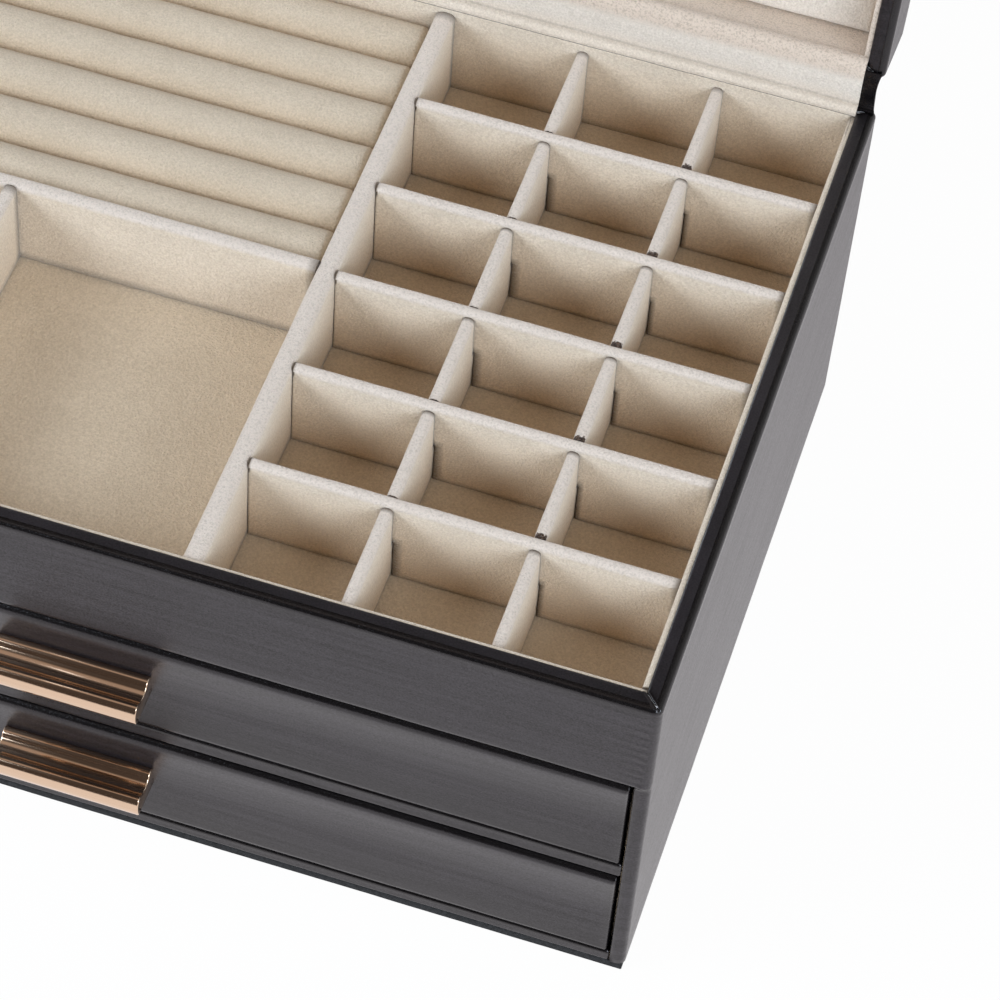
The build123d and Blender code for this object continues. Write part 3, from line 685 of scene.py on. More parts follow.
def flat_pad(name, width, depth, middle_y, bottom, node, body, seed):
    """A velvet pad that lies on a board, brushed slightly uneven, with painted shade, darker and warmer,
    under the small cells of the case, growing towards the back.
    """
    def faces_of(across, rise, full):
        return full * velvet_pad / 2, -velvet_pad / 2 * np.ones_like(full)
    edge = 0.6
    along, up = (-width / 2, width / 2), (middle_y - depth / 2, middle_y + depth / 2)
    points, faces = card_shape(along, up, (), edge, edge, edge, faces_of)[:2]
    # Painted shade on the floor of the small cells
    warm_from, warm_over = -75.0, 40.0
    back_cells = share_of((points[:, 1] - warm_from) / warm_over)
    marks = {"deep": (0.1 + 0.35 * back_cells) * (points[:, 0] > main_left) * (body == "case")}
    points[:, 2] += bottom + velvet_pad / 2
    made = make_piece(name, points, faces, [floor_velvet], marks)
    make_uneven(made, [(0.05, 22.0, seed)])
    return settle(made, body, "ivory_velvet", node)


flat_pad("tray_floor", 2 * tray_half, tray_back - tray_front, tray_middle, deck_top, "tray_floor_pad", "case",
         41)


# Leather covers

def wrapped_shape(x_lines, y_lines, profile, inside=None, first_cap=False, last_cap=False,
                  corner_steps=10, seam=0.0):
    """Points (x, y, h) and faces of a cover that follows a profile of (outward, h) pairs round a rectangle.
    Outward is measured from the rectangle of the corners' centres; inside is (half x, front y, back y)
    of the rectangle that the most inward pair reaches.
    seam is the share of a corner on each side of its mitre."""
    x0, x1, y0, y1 = x_lines[0], x_lines[-1], y_lines[0], y_lines[-1]
    half_x, in_front, in_back = inside or (x1, y0, y1)
    turns = [k / corner_steps for k in range(1, corner_steps)] + ([0.5 - seam, 0.5 + seam] if seam else [])
    stations = []
    for run, normal, corner in (
        ([(x, y0) for x in x_lines], (0, -1), (x1, y0)),
        ([(x1, y) for y in y_lines], (1, 0), (x1, y1)),
        ([(x, y1) for x in x_lines[::-1]], (0, 1), (x0, y1)),
        ([(x0, y) for y in y_lines[::-1]], (-1, 0), (x0, y0)),
    ):
        stations += [(p, normal) for p in run]
        start = math.atan2(normal[1], normal[0])
        for share in sorted(turns):
            angle = start + math.pi / 2 * share
            stations.append((corner, (math.cos(angle), math.sin(angle))))
    spine = np.array([s[0] for s in stations], float)
    normal = np.array([s[1] for s in stations], float)
    across = np.interp(spine[:, 0], [x0, x1], [-half_x, half_x])
    along = np.interp(spine[:, 1], [y0, y1], [in_front, in_back])
    inner = np.stack([across, along], 1)
    deepest = min(min(n for n, h in profile), -1e-9)
    rings = []
    for n, h in profile:
        flat = spine + max(n, 0.0) * normal + (min(n, 0.0) / deepest) * (inner - spine)
        rings.append(np.column_stack([flat, np.full(len(flat), h)]))
    points = np.concatenate(rings)
    total = len(spine)
    faces = []
    for r in range(len(profile) - 1):
        for s in range(total):
            t = (s + 1) % total
            faces.append([r * total + s, r * total + t, (r + 1) * total + t, (r + 1) * total + s])
    gx, gy = np.meshgrid(x_lines, y_lines, indexing="ij")
    step = len(y_lines)
    for wanted, level, turned in ((first_cap, profile[0][1], True), (last_cap, profile[-1][1], False)):
        if wanted:
            start = len(points)
            cap = np.column_stack([gx.ravel(), gy.ravel(), np.full(gx.size, level)])
            points = np.concatenate([points, cap])
            for i in range(len(x_lines) - 1):
                for j in range(step - 1):
                    a = start + i * step + j
                    quad = [a, a + step, a + step + 1, a + 1]
                    faces.append(quad[::-1] if turned else quad)
    return welded(points, faces)


def welded(points, faces):
    """The same shape with points that coincide made one and empty faces dropped."""
    first, where = np.unique(np.round(points, 4), axis=0, return_index=True, return_inverse=True)[1:]
    where = np.asarray(where).ravel()
    clean = []
    for face in faces:
        loop = []
        for corner in where[face]:
            if not loop or corner != loop[-1]:
                loop.append(int(corner))
        if loop[0] == loop[-1]:
            loop.pop()
        if len(loop) > 2 and len(set(loop)) == len(loop):
            clean.append(loop)
    return points[first], clean


def quarter(centre, radius, start, end, steps):
    """Points of a quarter round, angles in degrees."""
    angles = np.radians(np.linspace(start, end, steps))
    return [(centre[0] + radius * math.cos(a), centre[1] + radius * math.sin(a)) for a in angles]


def turned_in(curl, radius):
    """How far a rounded edge falls back where it has curled that far."""
    return radius - np.sqrt(radius**2 - curl**2)


# Lines that the leather of the case and the lid follow, closer at the mitred corners and the drawer opening
spine_x, spine_y = half_width - corner_round, half_depth - corner_round
rim_round, lip_round, hem_round, lid_round = 1.4, 1.4, 0.4, 2.0


def with_corners(lines, half):
    """Grid lines with more of them near both ends."""
    more = [[-half + c, half - c] for c in (0.12, 0.26, 0.45, 0.75, 1.2)]
    return np.unique(np.round(np.concatenate([lines] + more), 4))


opening_edges = [(-opening_half, -1, lip_round), (opening_half, 1, lip_round)]
side_x = with_corners(grid_lines(-spine_x, spine_x, 2.4, opening_edges), spine_x)
side_y = with_corners(grid_lines(-spine_y, spine_y, 2.4), spine_y)
rim_inside = (half_width - rim_band, -half_depth + rim_band, half_depth - back_rim_band)
rim_inward = corner_round - rim_band
rim_fold = [(rim_inward + n, h) for n, h in ((0.0, 0.85), (0.02, 0.45), (0.14, 0.16), (0.45, 0.0))]
rim_flat = [(n, -0.05) for n in (-1.9, -1.2, -0.6, -0.2, 0.0, 0.3)] + [(0.6, -0.01)]
rim_roll = quarter((corner_round - rim_round, rim_round), rim_round, -80, 0, 9)


def mitre_distance(points):
    """How far each point is from the nearest mitre line of the rim, and which side of it."""
    far, start, end = 99.0, -0.5, 8.0
    best = np.full(len(points), far)
    signed = np.zeros(len(points))
    for sx in (-1, 1):
        for sy, band in ((-1, rim_band), (1, back_rim_band)):
            inner = np.array([sx * (half_width - rim_band), sy * (half_depth - band)])
            outer = np.array([sx * spine_x, sy * spine_y]) + corner_round * 0.7 * np.array([sx, sy])
            run = (outer - inner) / np.linalg.norm(outer - inner)
            off = points[:, :2] - inner
            side = off[:, 0] * run[1] - off[:, 1] * run[0]
            ahead_of = off @ run
            near = (np.abs(side) < best) & (ahead_of > start) & (ahead_of < end)
            best = np.where(near, np.abs(side), best)
            signed = np.where(near, side * sx * -sy, signed)
    return best, signed


def hump(distance, width):
    """A smooth bump that fades over a width."""
    return np.exp(-(distance / width) ** 2)


def leather_wrap(profile, hem_mark, last_cap=False):
    """Points (x, y, h), faces and fold mark of a cover whose rim is folded in. Its mitre seams are sunk
    and the flap that laps over them is raised. h grows away from the rim, and hem_mark gives the mark
    from h and the way out."""
    points, faces = wrapped_shape(side_x, side_y, profile, rim_inside, last_cap=last_cap, seam=0.02)
    h = points[:, 2]
    out_wall = np.maximum(np.abs(points[:, 0]) - spine_x, np.abs(points[:, 1]) - spine_y)
    fold_mark = share_of(1.0 - (h - 0.4) / 2.6) * (out_wall > 0.2)
    fold_mark = np.maximum(fold_mark, hem_mark(h, out_wall))
    away, side = mitre_distance(points)
    rim_reach, seam_depth, seam_width, flap_rise, flap_middle, flap_width = 1.8, 0.42, 0.17, 0.20, 0.55, 0.35
    on_rim = share_of(1.0 - h / rim_reach) * (h < rim_reach)
    flap = flap_rise * hump(away - flap_middle, flap_width) * (side > 0)
    sink = seam_depth * hump(away, seam_width) - flap
    points = points.copy()
    points[:, 2] += on_rim * sink
    return points, faces, np.maximum(fold_mark, on_rim * hump(away, 1.3))


def seam_faces(points, faces):
    """1 for the slivers of a mitre seam where the leather's cut edge shows, in broken pieces, painted light
    grey to stand for the glint along the seam.
    """
    middles = np.array([points[f].mean(0) for f in faces])
    away = mitre_distance(middles)[0]
    seam_half, seam_end, glint_gap_level = 0.07, 0.85, -0.15
    shows = (away < seam_half) & (middles[:, 2] < seam_end) & (waver(middles * 1.7, 1.0, 8) > glint_gap_level)
    return list(shows.astype(int))


def leather_cover(name, placed, faces, marks, finish_of_face, waves, fold_waves, body, node):
    """A leather cover of the case or the lid, uneven all over and more so where it is folded."""
    made = make_piece(name, placed, faces, [black_leather, cut_edge_and_glint], marks, finish_of_face)
    make_uneven(made, waves)
    make_uneven(made, fold_waves, "fold")
    thicken(made, leather_thickness)
    settle(made, body, "black_leather", node)


# Leather of the case: rim folded in, wall, hem turned under, and an opening in front of the drawers
case_h, panel_end = rim_top - standing_pad_top, rim_top - deck_bottom
hem_start = case_h - hem_round
panel_rows = grid_lines(rim_round, panel_end, 0.9, [(rim_round, 1, 5.0), (panel_end, -1, lip_round)])
lower_rows = grid_lines(panel_end, hem_start, 2.6, [(panel_end, 1, 1.0)])
profile = rim_fold + rim_flat + rim_roll + [(corner_round, h) for h in [*panel_rows[1:], *lower_rows[1:]]]
profile += quarter((corner_round - hem_round, hem_start), hem_round, 15, 90, 5)
profile += [(0.4, case_h), (0.0, case_h)]
points, faces, fold_mark = leather_wrap(profile, lambda h, out: 0.5 * share_of((h - case_h + 2.5) / 2.5))
middles = np.array([points[f].mean(0) for f in faces])
in_opening = (middles[:, 1] < -half_depth + 0.3) & (middles[:, 2] > panel_end)
in_opening |= (middles[:, 1] < -spine_y) & (middles[:, 2] > case_h - 0.8)
in_opening &= np.abs(middles[:, 0]) < opening_half
faces = [f for f, gone in zip(faces, in_opening) if not gone]
off_x, level = np.abs(points[:, 0]), rim_top - points[:, 2]
on_front = points[:, 1] < -half_depth + 1e-4
beside = np.maximum(off_x - opening_half, 0)
above = np.maximum(panel_end - points[:, 2], 0)
reach = np.hypot(beside, above)
turn_in = on_front * turned_in(np.clip(lip_round - reach, 0, lip_round), lip_round) * 0.42

# Small step on the stiles under the panel, and wrinkles of the panel's leather towards its corners
stile = (points[:, 1] < -spine_y) & (off_x > opening_half - 0.01)
ledge_depth, ledge_level, ledge_fall = 0.30, 80.6, 1.1
ledge_line = ledge_level + 0.25 * waver(points, 1.6, 3)
ledge = ledge_depth * share_of((ledge_line - level) / ledge_fall) * stile
ledge *= share_of((half_width - off_x) / 1.5)
fold_mark = np.maximum(fold_mark, 0.8 * stile * hump(level - deck_bottom, 1.0))
fold_mark = np.maximum(fold_mark, 0.6 * on_front * share_of(1 - reach / lip_round))
wrinkle_depth, wrinkle_from, wrinkle_over, wrinkle_top, wrinkle_fade = 0.12, 132.0, 10.0, 107.0, 6.0
wrinkle = wrinkle_depth * np.sin(level * 2.3 + 2.4 * waver(points, 6.0, 4)) * on_front * (level > deck_bottom)
wrinkle *= share_of((off_x - wrinkle_from) / wrinkle_over) ** 2
wrinkle *= share_of((wrinkle_top - level) / wrinkle_fade)
points[:, 1] += turn_in + ledge + wrinkle
# Painted highlight: extra coat along the lower edge of the panel above the drawers, fading over 8 mm
painted_sheen_mark = np.maximum(0.25 * share_of(1 - reach / 8.0), share_of(1.2 - reach)) * on_front * (beside < 1e-4)
finish_of_face = seam_faces(points, faces)

# Edge of the opening, turned back along the path up the left stile, under the panel and down the right stile
touch, lip_play, lip_fold, lip_depths = 1e-3, 0.12, 0.3, (-100.6, -98.7, -92.0)
edge = on_front & (reach < 1e-4) & (level > 3.0)
up_left = sorted(np.where(edge & (points[:, 0] < -opening_half + touch))[0], key=lambda i: -points[i, 2])
down_right = sorted(np.where(edge & (points[:, 0] > opening_half - touch))[0], key=lambda i: points[i, 2])
along_top = edge & (off_x < opening_half - touch) & (np.abs(level - deck_bottom) < touch)
under_panel = sorted(np.where(along_top)[0], key=lambda i: points[i, 0])
path = [int(i) for i in up_left + under_panel + down_right]
last = path
for depth in lip_depths:
    fresh = list(range(len(points), len(points) + len(path)))
    lip = points[path].copy()
    lip[:, 1] = depth
    lip[:, 0] = np.clip(lip[:, 0], -opening_half + lip_play, opening_half - lip_play)
    points = np.concatenate([points, lip])
    fold_mark = np.concatenate([fold_mark, np.full(len(lip), lip_fold)])
    painted_sheen_mark = np.concatenate([painted_sheen_mark, np.zeros(len(lip))])
    for a in range(len(path) - 1):
        faces.append([last[a], last[a + 1], fresh[a + 1], fresh[a]])
        finish_of_face.append(0)
    last = fresh
leather_cover("case_cover", np.column_stack([points[:, 0], points[:, 1], rim_top - points[:, 2]]), faces,
              {"fold": fold_mark, "painted_sheen_and_shade": painted_sheen_mark}, finish_of_face,
              [(0.07, 30.0, 51), (0.03, 9.0, 52)], [(0.06, 6.5, 53)], "case", "case_leather")

# Leather of the lid
wall_end = lid_height - lid_round
profile = rim_fold + rim_flat + rim_roll
profile += [(corner_round, h) for h in grid_lines(rim_round, wall_end, 4.0, [(rim_round, 1, 4.0)])[1:]]
profile += quarter((corner_round - lid_round, wall_end), lid_round, 10, 90, 9) + [(0.0, lid_height)]
points, faces, fold_mark = leather_wrap(
    profile, lambda h, out: 0.45 * share_of((h - lid_height + 3) / 2) * (out > 0.1), last_cap=True)
placed = open_lid(np.column_stack([points[:, 0], points[:, 1], lid_rim + points[:, 2]]))
leather_cover("lid_cover", placed, faces, {"fold": fold_mark}, seam_faces(points, faces),
              [(0.10, 34.0, 61), (0.03, 9.0, 62)], [(0.06, 6.5, 63)], "lid", "lid_leather")


def covered_board(name, width, height, depth, inset, place, materials, seed, back_finish=0,
                  top_round=0.0, bottom_round=0.0, puff=0.0, painted_sheen_and_shade=0.0):
    """A leather-covered board: front face towards h 0, edges rounded, back face at h depth.
    Its sheen argument gives the front a painted highlight that grows towards the top and painted shade low
    down; every board gets a painted highlight along its lower edge."""
    x = lines_between(width / 2 - inset, 2.6, 1.5)
    y = lines_between(height / 2 - inset, 3.0, 1.5)
    profile = [(0.0, 0.0)] + quarter((0.0, inset), inset, -90, 0, 8)[1:] + [(inset, depth - 0.5)]
    profile += [(inset - 0.15, depth - 0.12), (inset - 0.5, depth), (0.0, depth)]
    points, faces = wrapped_shape(x, y, profile, first_cap=True, last_cap=True, corner_steps=8)
    rise = points[:, 1]
    swell = (1.0 - np.abs(2 * rise / height) ** 3) * (1.0 - np.abs(2 * points[:, 0] / width) ** 12)
    points[:, 2] -= puff * swell * (points[:, 2] < inset / 2)
    for direction, large in ((1, top_round), (-1, bottom_round)):
        curl = np.clip(large - height / 2 + direction * rise, 0, large)
        points[:, 2] = np.maximum(points[:, 2], np.where(curl > 0, turned_in(curl, large), points[:, 2]))
    out = np.maximum(np.abs(points[:, 0]) - width / 2 + inset, np.abs(rise) - height / 2 + inset)
    fold_mark = np.maximum(share_of(1.0 + out / 1.5) * 0.55, share_of((rise - height / 2 + 2.6) / 2.0))
    fold_mark *= points[:, 2] < depth - 0.2
    # Painted highlight and shade: extra coat rising towards the top, darker colour near the bottom, and a
    # painted highlight along the lower edge
    climb = share_of(rise / height + 0.5)
    edge_band = 0.8
    low_edge = share_of(1.0 - climb * height / edge_band)
    painted_sheen_mark = painted_sheen_and_shade * (1.95 * climb + 0.25 * climb**4 - 0.9)
    painted_sheen_mark *= share_of((height / 2 - 0.8 * top_round - rise) / edge_band)
    painted_sheen_mark = (painted_sheen_mark * (1 - low_edge) + low_edge) * (points[:, 2] < inset)
    finish = [back_finish if points[f, 2].min() > depth - 0.05 else 0 for f in faces]
    marks = {"fold": fold_mark, "painted_sheen_and_shade": painted_sheen_mark}
    made = make_piece(name, place(points), faces, materials, marks, finish)
    make_uneven(made, [(0.06, 24.0, seed), (0.03, 8.0, seed + 1)])
    make_uneven(made, [(0.05, 6.0, seed + 2)], "fold")
    return made


def upright(middle_z, front_y):
    """A board that stands, its front face at that depth."""
    return lambda p: np.column_stack([p[:, 0], front_y + p[:, 2], middle_z + p[:, 1]])


# Rails: the shelf between the drawers and the floor of the case
rail_front, rail_depth, rail_play = -102.1, 201.6, 0.1
for name, low, high, node in (("rail_shelf", shelf_bottom, shelf_top, "drawer_shelf"),
                              ("rail_base", standing_pad_top, base_top, "base_panel")):
    made = covered_board(name, 2 * opening_half - rail_play, high - low, rail_depth, 0.9,
                         upright((low + high) / 2, rail_front), [black_leather], 75)
    settle(made, "case", "black_leather", node)

# Pad that the box stands on
pad_inset = 0.5
made = covered_board("standing_pad", 2 * (half_width - pad_inset), 2 * (half_depth - pad_inset),
                     standing_pad_top, 0.3, lambda p: p.copy(), [base_felt], 79)
for vertex in made.data.vertices:
    vertex.co.z = min(max(vertex.co.z, 0.0), standing_pad_top * mm)
settle(made, "case", "base_felt", "base_pad")


# Drawer pulls

def arc_through(a, b, c, steps):
    """Points of the arc from a by way of b to c."""
    (ax, ay), (bx, by), (cx, cy) = a, b, c
    a2, b2, c2 = ax**2 + ay**2, bx**2 + by**2, cx**2 + cy**2
    twice = 2 * (ax * (by - cy) + bx * (cy - ay) + cx * (ay - by))
    ux = (a2 * (by - cy) + b2 * (cy - ay) + c2 * (ay - by)) / twice
    uy = (a2 * (cx - bx) + b2 * (ax - cx) + c2 * (bx - ax)) / twice
    start, way, end = (math.atan2(y - uy, x - ux) for x, y in (a, b, c))
    turn = (end - start) % math.tau
    if (way - start) % math.tau > turn:
        turn -= math.tau
    radius = math.hypot(ax - ux, ay - uy)
    angles = [start + turn * k / steps for k in range(steps + 1)]
    return [(ux + radius * math.cos(t), uy + radius * math.sin(t)) for t in angles]


def pull_outline():
    """Side view of a cup pull as (forward, up): bead, valley, ridge and lip."""
    bead = arc_through((0.0, 5.8), (1.75, 7.2), (3.5, 6.0), 16)
    valley = arc_through((3.5, 6.0), (6.15, 5.0), (8.8, 6.0), 20)
    ridge = arc_through((8.8, 6.0), (9.9, 6.15), (10.75, 5.55), 14)
    lip = arc_through((11.35, 4.75), (11.5, 2.2), (10.65, 0.0), 14)
    return [(0.0, 0.0)] + bead + valley[1:] + ridge[1:] + lip


def prism(name, outline, half):
    """An outline of (forward, up) drawn out from left to right."""
    size = len(outline)
    points = [(x, -f, u) for x in (-half, half) for f, u in outline]
    faces = [list(range(size)), list(range(2 * size - 1, size - 1, -1))]
    faces += [[k, size + k, size + (k + 1) % size, (k + 1) % size] for k in range(size)]
    return make_piece(name, points, faces, [gold])


def cup_pull(name, bottom):
    """A polished cup pull: hollow behind its lip, with two screw bosses."""
    end_wall, boss_radius, boss_length = 1.5, 2.4, 7.0
    body = prism(name, pull_outline(), pull_half)
    hollow = prism("hollow", [(-1.0, -1.0), (-1.0, 3.5), (8.4, 3.5), (9.4, -1.0)], pull_half - end_wall)
    cut = body.modifiers.new("hollow", "BOOLEAN")
    cut.object = hollow
    cut.operation = "DIFFERENCE"
    cut.solver = "EXACT"
    plain_mesh(body)
    bpy.data.objects.remove(hollow)
    soften = body.modifiers.new("edges", "BEVEL")
    soften.width = 0.35 * mm
    soften.segments = 4
    soften.limit_method = "ANGLE"
    soften.angle_limit = math.radians(32)
    plain_mesh(body)
    form = bmesh.new()
    form.from_mesh(body.data)
    for x in (-screw_x, screw_x):
        boss = bmesh.ops.create_cone(form, cap_ends=True, segments=28, radius1=boss_radius * mm,
                                     radius2=boss_radius * mm, depth=boss_length * mm)
        place = Matrix.Translation((x * mm, -boss_length / 2 * mm, screw_rise * mm))
        turned = place @ Matrix.Rotation(math.pi / 2, 4, "X")
        bmesh.ops.transform(form, matrix=turned, verts=boss["verts"])
    bmesh.ops.translate(form, vec=Vector((0.0, -half_depth * mm, bottom * mm)), verts=form.verts)
    form.to_mesh(body.data)
    form.free()
    body.data.polygons.foreach_set("use_smooth", np.ones(len(body.data.polygons), bool))
    body.data.set_sharp_from_angle(angle=math.radians(38))
    return body


# Drawers
front_width, front_board = 280.2, 4.5
inside_half = drawer_side_x - drawer_wall / 2
inside_back = drawer_side_back - drawer_wall
inside_depth = inside_back - drawer_side_front
for count, (name, low, high) in enumerate(drawers):
    body, walls = f"{name}_drawer", (low, low + drawer_wall_height)
    front = covered_board(f"{name}_front", front_width, high - low, front_board, 1.1,
                          upright((low + high) / 2, -half_depth), [black_leather, ivory_velvet],
                          81 + 10 * count, 1, top_round=2.2, bottom_round=1.6, puff=0.3, painted_sheen_and_shade=1.0)
    settle(front, body, "black_leather", f"{body}_front")
    for side, x in (("left", -drawer_side_x), ("right", drawer_side_x)):
        made = velvet_card(f"{name}_side_{side}", (drawer_side_front, drawer_side_back), walls, drawer_wall,
                           facing_right(x), seed=84 + count)
        settle(made, body, "ivory_velvet", f"{body}_{side}")
    made = velvet_card(f"{name}_back", (-inside_half, inside_half), walls, drawer_wall,
                       facing_front(inside_back + drawer_wall / 2), seed=86 + count)
    settle(made, body, "ivory_velvet", f"{body}_back")
    flat_pad(f"{name}_floor", 2 * inside_half, inside_depth, (inside_back + drawer_side_front) / 2,
             low + drawer_bottom_board, f"{body}_pad", body, 88 + count)
    settle(cup_pull(f"{name}_pull", low + pull_rise), body, "rose_gold", f"{body}_handle")

# Lining of the lid's walls: four cards glued into one frame
lining_drop = 0.8
lid_lining_height = lid_ceiling - lid_rim - lining_drop
frame_points, frame_faces, frame_marks = [], [], {"crown": [], "crease": [], "deep": []}
for side, run, thick, from_left, middle in linings:
    points, faces, marks = card_shape(run, (0.0, lid_lining_height), (), 0.4, 0.5, 0.4,
                                      even_card(thick, 0.04))
    out = middle + points[:, 2]
    flat = (points[:, 0], out) if from_left else (out, points[:, 0])
    frame_faces += [[k + sum(map(len, frame_points)) for k in f] for f in faces]
    frame_points.append(np.column_stack([*flat, lid_ceiling - points[:, 1]]))
    # Painted shade: the whole lining takes the tan crown colours and a little of the darker, warmer tint
    marks["crown"] = np.ones(len(points))
    marks["deep"] *= 0.3
    for label in frame_marks:
        frame_marks[label].append(marks[label])
made = make_piece("lid_lining", open_lid(np.concatenate(frame_points)), frame_faces, [lid_velvet],
                  {label: np.concatenate(parts) for label, parts in frame_marks.items()})
make_uneven(made, [(0.08, 14.0, 91), (0.04, 5.0, 92)])
settle(made, "lid", "ivory_velvet", "lid_liner")

# Padded panel of the lid, swelling round the mirror
lid_pad_half_x, lid_pad_half_y, lid_pad_half, lid_pad_round = 138.3, 97.15, 3.6, 2.6
mirror_gap, mirror_lip, pad_margin, pad_swell, pad_lift = 0.15, 2.2, 18.0, 0.7, 0.1
window_x, window_y = mirror_half_x + mirror_gap, mirror_half_y + mirror_gap


def lid_pad_faces(across, rise, full):
    off_x = np.maximum(np.abs(across) - window_x, 0)
    off_y = np.maximum(np.abs(rise - tray_middle) - window_y, 0)
    off = np.hypot(off_x, off_y)
    swell = pad_swell * np.sin(np.pi * share_of(off / pad_margin)) ** 0.8
    front = np.minimum(full, rounded(off, mirror_lip)) * lid_pad_half + swell * full + pad_lift
    return front, -lid_pad_half * np.ones_like(full)


points, faces, marks = card_shape(
    (-lid_pad_half_x, lid_pad_half_x), (tray_middle - lid_pad_half_y, tray_middle + lid_pad_half_y), (),
    lid_pad_round, lid_pad_round, lid_pad_round, lid_pad_faces,
    more_along=[(s * window_x, s, mirror_lip) for s in (-1, 1)],
    more_up=[(tray_middle + s * window_y, s, mirror_lip) for s in (-1, 1)])
placed = open_lid(np.column_stack([points[:, 0], points[:, 1], lid_pad_middle_level - points[:, 2]]))
# The crease mark paints shade along the pad's left, right and front edges
made = make_piece("lid_padding", placed, faces, [lid_velvet], {"crease": marks["crease"]})
make_uneven(made, [(0.12, 18.0, 93), (0.06, 6.0, 94)])
settle(made, "lid", "ivory_velvet", "lid_pad")


# Hinge strips

def smooth_path(corners, steps=8):
    """A smooth line through the given (y, z) points."""
    found = []
    ends = [corners[0]] + list(corners) + [corners[-1]]
    for k in range(len(corners) - 1):
        a, b, c, d = (np.array(ends[k + j], float) for j in range(4))
        square, cube = 2 * a - 5 * b + 4 * c - d, 3 * b - a - 3 * c + d
        for t in np.linspace(0, 1, steps, endpoint=False):
            found.append(0.5 * (2 * b + (c - a) * t + square * t**2 + cube * t**3))
    return np.array(found + [np.array(corners[-1], float)])


def hinge_strip(name, half, corners, thickness, material, marks_of, waves, node, pinch=0.0):
    """A flexible strip along the back that bends between the case and the lid, waisted by the pinch."""
    route = smooth_path(corners)
    x = lines_between(half, 2.5, 2.0)
    step = len(route)
    waist = 1.0 - pinch * np.sin(np.linspace(0.0, math.pi, step))
    points = np.array([(a * w, y, z) for a in x for w, (y, z) in zip(waist, route)])
    faces = [[i * step + j, (i + 1) * step + j, (i + 1) * step + j + 1, i * step + j + 1]
             for i in range(len(x) - 1) for j in range(step - 1)]
    share = np.tile(np.linspace(0, 1, step), len(x))
    made = make_piece(name, points, faces, [material], marks_of(points[:, 2], share), closed=False)
    make_uneven(made, waves)
    thicken(made, thickness, 0.0)
    plain_mesh(made)
    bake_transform(made)
    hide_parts(node)


def hinge_lining_marks(level, share):
    """Painted shade: a dark crease where it turns over the rim and at its foot, the tan crown colours towards
    the lid, and darker and warmer low down.
    """
    turn_level, grey_from, warm_below, fade = 114.4, 120.5, 118.0, 4.0
    return {"crease": share_of(1 - np.abs(level - turn_level) / 0.9) * 0.35 + (share < 0.04) * 0.8,
            "crown": share_of((level - grey_from) / fade),
            "deep": 0.3 * share_of((warm_below - level) / fade)}


hinge_strip("hinge_lining", half_width - rim_band,
            [(98.95, 111.5), (98.85, 112.7), (99.6, 113.8), (100.6, 114.3), (100.85, 116.6), (101.1, 120.0),
             (101.7, 123.2), (102.7, 125.5), (104.4, 126.5), (106.6, 125.75)],
            0.7, lid_velvet, hinge_lining_marks, [(0.14, 16.0, 95), (0.06, 5.0, 96)],
            "hinge_velvet")
hinge_end_play = 0.6
hinge_strip("hinge_cover", half_width - hinge_end_play,
            [(100.3, 112.75), (101.5, 113.0), (102.2, 115.0), (102.6, 118.2), (102.85, 120.6),
             (103.05, 122.6), (103.3, 124.2)],
            0.8, black_leather, lambda level, share: {"fold": np.full(len(level), 0.8)},
            [(0.18, 9.0, 97), (0.18, 3.0, 98)],
            "hinge_leather", pinch=0.005)


# Repeated pieces, each from one rule

def new_rule(name, inputs):
    """An empty geometry rule and its two end nodes. inputs says the kind of each named socket."""
    rule = bpy.data.node_groups.new(name, "GeometryNodeTree")
    for label, kind in inputs.items():
        rule.interface.new_socket(label, in_out="INPUT", socket_type=f"NodeSocket{kind}")
    rule.interface.new_socket("Shape", in_out="OUTPUT", socket_type="NodeSocketGeometry")
    return rule, rule.nodes.new("NodeGroupInput"), rule.nodes.new("NodeGroupOutput")


def from_rule(name, rule, values):
    """The plain mesh piece that a rule gives for these values."""
    made = make_piece(name, [(0, 0, 0)], [], [], closed=False)
    maker = made.modifiers.new("rule", "NODES")
    maker.node_group = rule
    for item in rule.interface.items_tree:
        if item.in_out == "INPUT":
            maker[item.identifier] = values[item.name]
    return plain_mesh(made)


def clamped(rule, value):
    return result(rule, "ShaderNodeClamp", {0: value})


def changed(rule, kind, geometry, **values):
    """A geometry after a step that takes these values."""
    return result(rule, f"GeometryNode{kind}", {"Geometry": geometry, **values})


def in_a_row(rule, geometry, count, first, axis, spacing, turn=(0.0, 0.0, 0.0)):
    """Real copies of a geometry in a row along an axis."""
    gap = result(rule, "ShaderNodeCombineXYZ", {axis: spacing})
    row = result(rule, "GeometryNodeMeshLine", {"Count": count, "Start Location": first, "Offset": gap})
    values = {"Points": row, "Instance": geometry, "Rotation": turn}
    copies = result(rule, "GeometryNodeInstanceOnPoints", values)
    return changed(rule, "RealizeInstances", copies)


